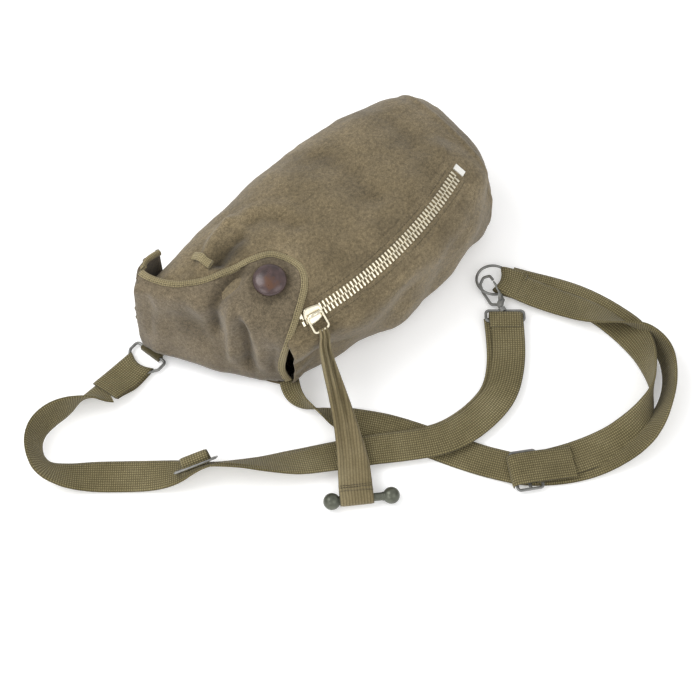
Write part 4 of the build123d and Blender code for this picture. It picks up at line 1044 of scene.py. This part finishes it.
# binding tape folded over the flap's free edge
ring_line, ring_n = flap_surface(edge)
tan = np.gradient(ring_line, axis=0)
tan /= np.linalg.norm(tan, axis=1)[:, None]
inw = np.cross(ring_n, tan)
mid2 = np.array([0.0, 20.0])
inside_pt, _ = flap_surface(edge + 2.0 * (mid2 - edge) / np.linalg.norm(mid2 - edge, axis=1)[:, None])
sign = np.sign(np.sum(inw * (inside_pt - ring_line), axis=1))
inw = inw * np.where(sign == 0, 1, sign)[:, None]
tape_profile = [(4.2, 0.35), (4.0, 0.95), (2.4, 1.05), (0.6, 0.95), (-0.9, 0.35), (-1.3, -0.6), (-0.9, -1.7), (0.6, -2.2),
                (2.4, -2.2), (4.2, -2.0), (4.0, -1.2), (1.0, -1.0), (1.0, 0.2)]
rag = 1 + 0.10 * np.array([noise.noise(Vector((i * 0.21, 3.1, 0))) for i in range(len(ring_line))])
binding = surface_strip("flap_binding_tape", ring_line, ring_n, inw * rag[:, None], tape_profile, BINDING)
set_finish(binding, "binding")
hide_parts("flap_binding")
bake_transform(binding)
# the same tape along the return's top
ret = [tuple(fp[cdt_index[0]])] + ret_top
ret_line = smooth_line(ret, 1.2)
rt = np.gradient(ret_line, axis=0)
rt /= np.linalg.norm(rt, axis=1)[:, None]
rn = np.tile(unit([-0.25, 0.97, 0.0]), (len(ret_line), 1))
ri = np.tile(np.array([0, 0, -1.0]), (len(ret_line), 1))
binding2 = surface_strip("flap_binding_back", ret_line, rn, ri, tape_profile, BINDING)
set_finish(binding2, "binding")
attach(binding2, "flap")
# stitch line of the binding
st_line = ring_line + inw * 3.2 + ring_n * 1.05
stv, stf = [], []
for i in range(0, len(st_line) - 2, 2):
    a0, a1 = st_line[i], st_line[i] + (st_line[i + 1] - st_line[i]) * 0.95
    base = len(stv)
    for q in (a0, a1):
        for dx, dn in ((-0.16, -0.1), (0.16, -0.1), (0.16, 0.14), (-0.16, 0.14)):
            stv.append(q + inw[i] * dx + ring_n[i] * dn)
    stf += [(base, base + 1, base + 2, base + 3), (base + 7, base + 6, base + 5, base + 4)]
    for c in range(4):
        stf.append((base + c, base + 4 + c, base + 4 + (c + 1) % 4, base + (c + 1) % 4))
stitches = mesh_object("binding_stitches", stv, stf)
stitches.data.materials.append(THREAD_AND_GAP_SHADE)
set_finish(stitches, "binding")
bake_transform(stitches)

# ------------------------------------------------------------------------ zip
welt = [(5.3, -1.2), (5.15, -0.2), (5.3, 0.55), (5.9, 0.95), (7.0, 0.95), (8.2, 0.55), (8.8, 0.40), (9.4, 0.62),
        (11.5, 0.55), (13.0, 0.25), (14.2, -0.35), (14.6, -1.2)]
for sgn, name, node in ((-1, "zip_welt_upper", "zip_tape_upper"), (1, "zip_welt_lower", "zip_tape_lower")):
    verts, uv = [], []
    angles = np.linspace(Z0 - 2.0 / ZR, Z1 + 4.5 / ZR, 150)
    for i, a in enumerate(angles):
        s_mm = (a - Z0) * ZR
        taper = smoothstep(0.0, 5.0, (Z1 + 4.5 / ZR - a) * ZR)
        for q, (w, n) in enumerate(welt):
            wob = 0.25 * noise.noise(Vector((s_mm * 0.09, q * 0.12, 2.0 + sgn)))
            verts.append(zip_point(a, sgn * (w + wob * (0.35 if q < 4 else 1.0)),
                                   (n + 0.5 * wob) * float(taper) - 0.5 * (1 - float(taper))))
            uv.append((w * 0.1, s_mm * 0.1))
    ob = mesh_object(name, verts, grid_faces(len(angles), len(welt), wrap=True), uv=uv)
    ob.data.materials.append(CANVAS)
    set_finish(ob, "zip_cloth")
    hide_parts(node)
    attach(ob, "root")
    # stitches beside the chain
    stv, stf = [], []
    for i in range(0, int(zip_len / 2.6)):
        a = Z0 + (i * 2.6) / ZR
        base = len(stv)
        for aa in (a, a + 1.9 / ZR):
            for dw, dn in ((-0.17, 0.30), (0.17, 0.30), (0.17, 0.56), (-0.17, 0.56)):
                stv.append(zip_point(aa, sgn * 8.8 + dw, dn))
        stf += [(base, base + 1, base + 2, base + 3), (base + 7, base + 6, base + 5, base + 4)]
        for c in range(4):
            stf.append((base + c, base + 4 + c, base + 4 + (c + 1) % 4, base + (c + 1) % 4))
    ob = mesh_object(name + "_stitches", stv, stf)
    ob.data.materials.append(THREAD_AND_GAP_SHADE)
    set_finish(ob, "zip_cloth")
    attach(ob, "root")
# dark strip under the teeth: painted shade showing in the gaps between them
verts, uv = [], []
angles = np.linspace(Z0 - 1.0 / ZR, Z1 + 3.0 / ZR, 120)
bedding = [(-5.6, -1.3), (-5.6, -0.75), (-0.5, -0.85), (0.0, -1.25), (0.5, -0.85), (5.6, -0.75), (5.6, -1.3)]
for a in angles:
    for w, n in bedding:
        verts.append(zip_point(a, w, n))
bed = mesh_object("zip_bedding_gap_shade", verts, grid_faces(len(angles), len(bedding), wrap=True))
bed.data.materials.append(THREAD_AND_GAP_SHADE)
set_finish(bed, "zip_cloth")
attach(bed, "root")


def tooth(sgn):
    """One tooth: (along, across, out) corners with a waist and a rounded nose."""
    sec = []
    for w, half_t, top, low in ((4.9, 0.72, 0.95, -0.95), (4.6, 0.82, 1.15, -1.05), (2.9, 0.84, 1.25, -1.1), (1.9, 0.66, 1.2, -1.0),
                                (1.1, 0.62, 1.15, -0.95), (0.3, 0.72, 1.2, -0.95), (-0.35, 0.66, 1.05, -0.8), (-0.7, 0.40, 0.75, -0.5)):
        k = 0.72
        ring = [(-half_t, low * k), (-half_t * k, low), (half_t * k, low), (half_t, low * k),
                (half_t, top * k), (half_t * k, top), (-half_t * k, top), (-half_t, top * k)]
        sec.append([(a, sgn * w, n) for a, n in ring])
    return sec


for sgn, name, node in ((-1, "zip_row_upper", "zip_teeth_upper"), (1, "zip_row_lower", "zip_teeth_lower")):
    tv, tf = [], []
    pitch = 3.2
    a_mm = 0.8 + (0.0 if sgn < 0 else 0.5 * pitch)
    k = 0
    while a_mm < zip_len - 1.6:
        a = Z0 + a_mm / ZR
        jig = 0.02 * math.sin(k * 12.9898 + sgn)
        sec = tooth(sgn)
        base = len(tv)
        for ringpts in sec:
            for al, w, n in ringpts:
                tv.append(zip_point(a + (al + jig) / ZR, w, n))
        m = 8
        for r in range(len(sec) - 1):
            for c in range(m):
                f = (base + r * m + c, base + r * m + (c + 1) % m, base + (r + 1) * m + (c + 1) % m, base + (r + 1) * m + c)
                tf.append(f if sgn > 0 else tuple(reversed(f)))
        tf.append(tuple(base + c for c in range(m)))
        tf.append(tuple(base + (len(sec) - 1) * m + c for c in reversed(range(m))))
        a_mm += pitch
        k += 1
    ob = mesh_object(name, tv, tf, smooth=False)
    ob.data.materials.append(ZIP_METAL)
    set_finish(ob, "zip_metal")
    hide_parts(node)
    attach(ob, "root")


def zip_plate(outline, n0, n1, mid_a):
    """Flat plate on the chain: outline of (along, across) in mm."""
    m = len(outline)
    c = np.mean(outline, axis=0)
    vs = []
    for scale, n in ((0.90, n0), (1.0, n0 + 0.3), (1.0, n1 - 0.35), (0.96, n1 - 0.1), (0.88, n1)):
        for al, w in outline:
            al2, w2 = c[0] + (al - c[0]) * scale, c[1] + (w - c[1]) * scale
            vs.append(zip_point(mid_a + al2 / ZR, w2, n))
    fs = []
    for r in range(4):
        for k in range(m):
            fs.append((r * m + k, r * m + (k + 1) % m, (r + 1) * m + (k + 1) % m, (r + 1) * m + k))
    fs.append(tuple(reversed(range(m))))
    fs.append(tuple(range(4 * m, 5 * m)))
    return vs, fs


SL0 = Z0 + math.radians(0.35)
SL_MID = SL0 + 7.0 / ZR
shield = [(-7.4, 0.0), (-7.0, 2.2), (-6.2, 4.6), (-5.0, 5.7), (-2.6, 6.1), (1.0, 5.6), (4.6, 4.7), (6.6, 4.2), (7.2, 3.2),
          (7.3, 0.0), (7.2, -3.2), (6.6, -4.2), (4.6, -4.7), (1.0, -5.6), (-2.6, -6.1), (-5.0, -5.7), (-6.2, -4.6), (-7.0, -2.2)]
sv, sf = zip_plate(shield, 1.65, 2.95, SL_MID)
bv, bf = zip_plate(shield, -2.9, -1.65, SL_MID)
sf += [tuple(i + len(sv) for i in f) for f in bf]
sv += bv
# flanges down both long sides
for sg in (-1, 1):
    prof = [(-5.2, 5.9), (-2.6, 6.25), (1.0, 5.75), (4.6, 4.85), (6.6, 4.3)]
    base = len(sv)
    for al, w in prof:
        for dw, n in ((0.0, 2.5), (0.25, 1.6), (0.1, 0.7), (-0.6, 0.8), (-0.7, 1.9)):
            sv.append(zip_point(SL_MID + al / ZR, sg * (w + dw), n))
    fl = grid_faces(len(prof), 5, wrap=True, start=base)
    sf += fl
# bridge: a strap of metal that arches over the bail
base = len(sv)
bridge = [(-5.4, 2.8), (-5.2, 3.9), (-4.2, 5.2), (-2.4, 6.1), (0.0, 6.35), (2.6, 6.1), (4.4, 5.1), (5.2, 3.9), (5.4, 2.8)]
for al, n in bridge:
    for w, dn in ((-1.5, 0.0), (-1.2, 0.45), (1.2, 0.45), (1.5, 0.0), (1.1, -0.5), (-1.1, -0.5)):
        sv.append(zip_point(SL_MID + (al + 0.2) / ZR, w, n + dn))
sf += grid_faces(len(bridge), 6, wrap=True, start=base)
slider = mesh_object("slider_body", sv, sf)
slider.data.materials.append(ZIP_METAL)
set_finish(slider, "zip_metal")
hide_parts("zip_slider")
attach(slider, "slider")

# ------------------------------------------------------------------ pull tape
TOG_C, TOG_DIR = np.array([-105.6, -162.3, 6.35]), np.array([0.8246, -0.5657, 0.0])
_, t_m, w_m, n_m = zip_axes(SL_MID)
bail_o = zip_point(SL_MID, 0.0, 4.7)
bar = bail_o + 13.0 * w_m


def gather(share, u):
    k = max(0.0, 1 - share * 1.02)
    deep = 2.6 * math.sqrt(k) * math.sin(2.6 * math.pi * u + 0.7 + 2.2 * share)
    fine = (0.35 + 0.45 * k) * math.sin(9.0 * math.pi * u + 5.0 * share)
    centre_fold = -2.0 * math.exp(-((u - 0.18 + 0.5 * (share - 0.45)) / 0.16) ** 2) * math.exp(-((share - 0.45) / 0.28) ** 2)
    return (deep + fine + centre_fold) * min(1.0, (1 - share) * 5 + 0.12) * (0.45 + 0.55 * min(1, share * 6))


pull_pts = [(bar[0] + 0.2, bar[1] + 0.6, bar[2] + 1.4, 0.0), (bar[0] - 0.6, bar[1] - 3.4, bar[2] - 1.2, 0.0),
            (-61.5, -76.0, 62.5, 2.0), (-64.5, -86.0, 46.5, 4.0), (-68.0, -97.5, 32.0, 0.0), (-73.0, -110.0, 21.5, -4.0),
            (-80.5, -124.5, 15.6, -4.0), (-89.5, -140.0, 13.4, 0.0), (-97.3, -150.5, 12.4, 0.0),
            (-103.2, -158.6, 11.6, 0.0)]
pull, line_p, len_p = ribbon(
    "pull_tape_cloth", pull_pts, thick=1.3, ripple=0.2, seed=31.0, wave=gather, material=PULL,
    widths=[(0, 7.0), (0.06, 7.6), (0.2, 10.0), (0.38, 13.4), (0.52, 16.2), (0.68, 20.0), (0.84, 23.6), (0.95, 24.6), (1, 24.6)])
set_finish(pull, "pull_cloth")
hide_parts("pull_tape")
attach(pull, "pull")
tq = np.cross(TOG_DIR, [0, 0, 1.0])
tq = tq if tq[1] > 0 else -tq          # from the toggle up the tape
ringp = [(9.5, 5.5)] + [(4.35 * math.cos(math.radians(a)), 4.35 * math.sin(math.radians(a))) for a in range(78, 300, 14)] + [(9.0, -0.6), (10.5, 3.6)]
hem = arch("pull_hem", TOG_C, TOG_DIR, tq, (0, 0, 1), 24.6, ringp, thick=1.2, body="pull", material=PULL)
hem["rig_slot"] = "pull_cloth"
hemst = []
stv, stf = [], []
for row in (7.0, 8.6):
    for i in range(12):
        c0 = TOG_C + TOG_DIR * (-11.2 + i * 1.95) + tq * row + np.array([0, 0, 6.3])
        base = len(stv)
        for e in (0.0, 1.35):
            for dq, dz in ((-0.2, -0.2), (0.2, -0.2), (0.2, 0.22), (-0.2, 0.22)):
                stv.append(c0 + TOG_DIR * e + tq * dq + np.array([0, 0, dz]))
        stf += [(base, base + 1, base + 2, base + 3), (base + 7, base + 6, base + 5, base + 4)]
        for c in range(4):
            stf.append((base + c, base + 4 + c, base + 4 + (c + 1) % 4, base + (c + 1) % 4))
hem_st = mesh_object("pull_hem_stitches", stv, stf)
hem_st.data.materials.append(THREAD_AND_GAP_SHADE)
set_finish(hem_st, "pull_cloth")
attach(hem_st, "pull")


# --------------------------------------------------------------------- lathes
def lathe(name, origin, axis, profile, material, slot_name, body, node=None, count=56):
    """Turned piece: profile of (radius, along the axis) in mm."""
    o, ax = np.asarray(origin, float), unit(axis)
    ref = np.array([0, 0, 1.0]) if abs(ax[2]) < 0.9 else np.array([1.0, 0, 0])
    e1_ = unit(np.cross(ref, ax))
    e2_ = np.cross(ax, e1_)
    vs, fs = [], []
    for r, h in profile:
        for k in range(count):
            t = 2 * math.pi * k / count
            vs.append(o + ax * h + (e1_ * math.cos(t) + e2_ * math.sin(t)) * max(r, 0.004))
    fs = [tuple(reversed(f)) for f in grid_faces(len(profile), count, wrap=True)]
    fs.append(tuple(range(count)))
    last_ = (len(profile) - 1) * count
    fs.append(tuple(reversed(range(last_, last_ + count))))
    ob = mesh_object(name, vs, fs)
    ob.data.materials.append(material)
    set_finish(ob, slot_name)
    if node:
        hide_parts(node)
    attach(ob, body)
    return ob


rb, half_l, shift = 6.25, 21.8, 3.5
prof = []
for k in range(0, 13):
    t = math.pi * (1 - k / 12 * 0.83)
    prof.append((rb * math.sin(t), -half_l + rb * math.cos(t)))
prof = [(r, h) for r, h in prof]
neck = [(3.45, -half_l + 5.9), (3.1, -half_l + 6.6), (3.0, -half_l + 7.6), (3.0, -8.0), (3.0, 0.0)]
halfp = [(0.0, -half_l - rb)] + prof[1:] + neck
full = halfp + [(r, -h) for r, h in reversed(halfp[:-1])]
toggle = lathe("toggle_bar", TOG_C + shift * TOG_DIR, TOG_DIR, full, GUNMETAL, "gunmetal", "toggle", "toggle")

SNAP_O = np.array([-66.0, -21.0, 91.16])
SNAP_N = unit([-0.1203, -0.1408, 0.9827])
cap_prof = [(0.0, 5.35), (2.5, 5.28), (5.0, 5.0), (7.4, 4.5), (9.4, 3.8), (10.9, 2.95), (11.8, 2.1), (12.3, 1.3), (12.5, 0.6),
            (12.35, 0.1), (11.9, -0.15), (0.0, -0.15)]
snap = lathe("snap_cap_dome", SNAP_O + SNAP_N * 3.6, SNAP_N, [(r, h) for r, h in reversed(cap_prof)], CAP_METAL, "cap_metal",
             "flap", "snap_cap", 72)

# --------------------------------------------------- webbing at hook and ring
EYE_C, EYE_DIR = np.array([83.6, -120.5, 6.0]), unit([0.755, -0.656])
eye_up = np.array([-EYE_DIR[1], EYE_DIR[0]])
fold_a = arch("strap_a_fold", (EYE_C[0] + 0.6 * eye_up[0], EYE_C[1] + 0.6 * eye_up[1], 6.2), (*EYE_DIR, 0), (*eye_up, 0), (0, 0, 1),
              25.0, [(-13.0, -1.7), (-6.0, -2.2), (-1.0, -3.1), (1.4, -2.2), (2.3, 0.0), (1.6, 2.4), (-1.0, 3.5), (-6.0, 3.2), (-12.0, 2.6)],
              node="strap_a_hook_fold")
RING_C = np.array([100.2, -90.4, 5.3])
bd = unit([-0.48, 0.877])
b_perp = np.array([-bd[1], bd[0]])
fb = np.array([105.5, -97.0])
fold_b = arch("strap_b_fold", (fb[0], fb[1], 5.6), (*b_perp, 0), (*bd, 0), (0, 0, 1), 25.0,
              [(-16.0, 0.6), (-9.0, -0.8), (-4.0, -2.6), (0.2, -3.2), (2.3, -1.6), (2.9, 0.6), (2.0, 2.8), (-0.6, 3.7), (-6.0, 2.6), (-13.0, 1.8)],
              node="strap_b_ring_fold")
co = np.array([v.co for v in fold_b.data.vertices]) / MM
uu = (co[:, :2] - fb) @ b_perp
vv = (co[:, :2] - fb) @ bd
near = smoothstep(-12.0, 2.0, vv)
co[:, :2] += (near * (uu / 12.5) ** 2 * 3.6)[:, None] * bd[None, :]
co[:, :2] += (-0.14 * uu * near)[:, None] * b_perp[None, :]
for v, c in zip(fold_b.data.vertices, co):
    v.co = c * MM
fold_b.data.update()

# -------------------------------------------------------------------- buckles
A_WAY, B_WAY = unit([80.3, -57.3]), unit([24.5, -15.0])


def buckle_mesh(name, centre, long_axis, short_axis, node, body, mat=GREY_STEEL):
    """Pressed three-bar slide with rounded bars."""
    c, l, s_ = (np.asarray(v, float) for v in (centre, unit(long_axis), unit(short_axis)))
    n = np.cross(l, s_)
    vs, fs = [], []

    def tube(points, radius_l, radius_n, closed):
        base = len(vs)
        pts_ = np.asarray(points, float)
        m = len(pts_)
        for i in range(m):
            a = pts_[(i - 1) % m] if closed or i > 0 else pts_[i]
            b_ = pts_[(i + 1) % m] if closed or i < m - 1 else pts_[i]
            t = unit(b_ - a)
            side = np.array([-t[1], t[0]])
            for k in range(10):
                q = 2 * math.pi * k / 10
                p2 = pts_[i] + side * radius_l * math.cos(q)
                vs.append(c + l * p2[0] + s_ * p2[1] + n * radius_n * math.sin(q))
        rows = m + (1 if closed else 0)
        for i in range(rows - 1):
            for k in range(10):
                a0 = base + (i % m) * 10 + k
                a1 = base + (i % m) * 10 + (k + 1) % 10
                b0 = base + ((i + 1) % m) * 10 + k
                b1 = base + ((i + 1) % m) * 10 + (k + 1) % 10
                fs.append((a0, a1, b1, b0))

    outline = []
    for cx, cy, a0 in ((13.2, 7.2, 0), (-13.2, 7.2, 90), (-13.2, -7.2, 180), (13.2, -7.2, 270)):
        for a in range(0, 91, 15):
            t = math.radians(a0 + a)
            outline.append((cx + 2.2 * math.cos(t), cy + 2.2 * math.sin(t)))
    tube(outline, 1.15, 0.8, True)
    tube([(-14.8, 0), (-7, 0), (0, 0), (7, 0), (14.8, 0)], 1.25, 0.8, False)
    ob = mesh_object(name, vs, fs)
    ob.data.materials.append(mat)
    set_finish(ob, "grey_steel")
    if node:
        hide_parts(node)
    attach(ob, body)
    return ob


view = unit([0.328, 0.377, -0.866])
slide_l = unit([0.908, -0.379, 0.179])
bk_a = buckle_mesh("buckle_a_slide", (-178.5, -67.0, 13.2), slide_l, view, "buckle_a", "buckle_a", GREY_STEEL)
bk_b = buckle_mesh("buckle_b_slide", (4.5, -226.0, 4.2), (-B_WAY[1], B_WAY[0], 0), (B_WAY[0], B_WAY[1], 0), "buckle_b", "buckle_b", GREY_STEEL)
up_img = np.cross(slide_l, view)
up_img = up_img if up_img[2] > 0 else -up_img
tail_a = arch("buckle_a_end", np.array([-177.5, -66.3, 13.0]), slide_l, view, up_img, 21.0,
              [(9.0, 0.2), (6.0, 3.6), (3.2, 6.2), (0.0, 7.4), (-3.2, 6.2), (-5.2, 3.2), (-4.0, 0.0), (-2.0, -1.6)],
              body="buckle_a", node="buckle_a_tail")
perp_b = (-B_WAY[1], B_WAY[0], 0)
tail_b = arch("buckle_b_end", (4.5, -226.0, 4.2), perp_b, (B_WAY[0], B_WAY[1], 0), (0, 0, 1), 25.0,
              [(35.0, 3.1), (26.0, 3.5), (14.0, 4.3), (4.0, 4.7), (-5.0, 4.6), (-10.0, 4.0), (-12.2, 2.2), (-12.6, 0.0), (-11.8, -1.4)],
              body="buckle_b", node="buckle_b_tail")

# ---------------------------------------------------------- pleat of the mouth
pl = smooth_line([(-95.4, 33.6), (-94.2, 27.8), (-93.2, 22.5), (-91.9, 17.2)], 1.2)
lo_, hi_ = np.full(len(pl), 60.0), np.full(len(pl), 110.0)
for _ in range(26):
    m_ = (lo_ + hi_) / 2
    dd = bag_distance(np.column_stack([pl, m_]))
    lo_, hi_ = np.where(dd <= 0, m_, lo_), np.where(dd <= 0, hi_, m_)
pl3 = np.column_stack([pl, lo_ + 3.2 + 3.4 * np.exp(-((np.linspace(0, 1, len(pl)) - 0.4) / 0.35) ** 2)])
tn = np.gradient(pl3, axis=0)
tn /= np.linalg.norm(tn, axis=1)[:, None]
up3 = np.tile(unit([-0.30, 0.12, 0.95]), (len(pl3), 1))
in3 = np.cross(tn, up3)
in3 = np.where((in3[:, :1] < 0), -in3, in3)
pleat = surface_strip("mouth_pleat_tape", pl3, up3, in3,
                      [(6.4, -1.4), (6.2, 0.1), (5.6, 0.45), (3.0, 0.7), (0.6, 0.6), (-0.5, -0.1), (-0.6, -1.2), (0.4, -2.0)], BINDING)
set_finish(pleat, "binding")
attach(pleat, "root")

# ----------------------------------------------------------------- hood inside
px0, px1, hy, hz = -84.0, -40.0, 42.0, 33.0
vs, fs = [], []
NU, NV = 90, 120
cen = np.array([-62.0, 2.0, 43.0])
for i in range(NU + 1):
    th = math.pi * i / NU
    for j in range(NV):
        ph = 2 * math.pi * j / NV
        dirv = np.array([math.cos(th), math.sin(th) * math.cos(ph), math.sin(th) * math.sin(ph)])
        e = 4.0
        rr = (abs(dirv[0] / 20.5) ** e + abs(dirv[1] / 40.5) ** e + abs(dirv[2] / 31.0) ** e) ** (-1 / e)
        p = cen + dirv * rr
        q = Vector(p * 0.045)
        ridge = 1 - abs(noise.noise(q + Vector((3.0, 1.0, 7.0)))) * 2.4
        ridge2 = 1 - abs(noise.noise(q * 2.3 + Vector((9.0, 4.0, 1.0)))) * 2.4
        layer = math.sin(p[2] / 3.1 + 2.0 * noise.noise(q * 0.8)) * smoothstep(0.2, 0.8, -dirv[0])
        vs.append(p + dirv * (1.9 * ridge + 0.8 * ridge2 + 1.0 * layer - 2.6))
fs = grid_faces(NU + 1, NV, wrap=True)
hood = mesh_object("hood_folded", vs, fs)
hood.data.materials.append(HOOD_FILM)
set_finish(hood, "hood_film")
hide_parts("hood_pack")
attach(hood, "root")
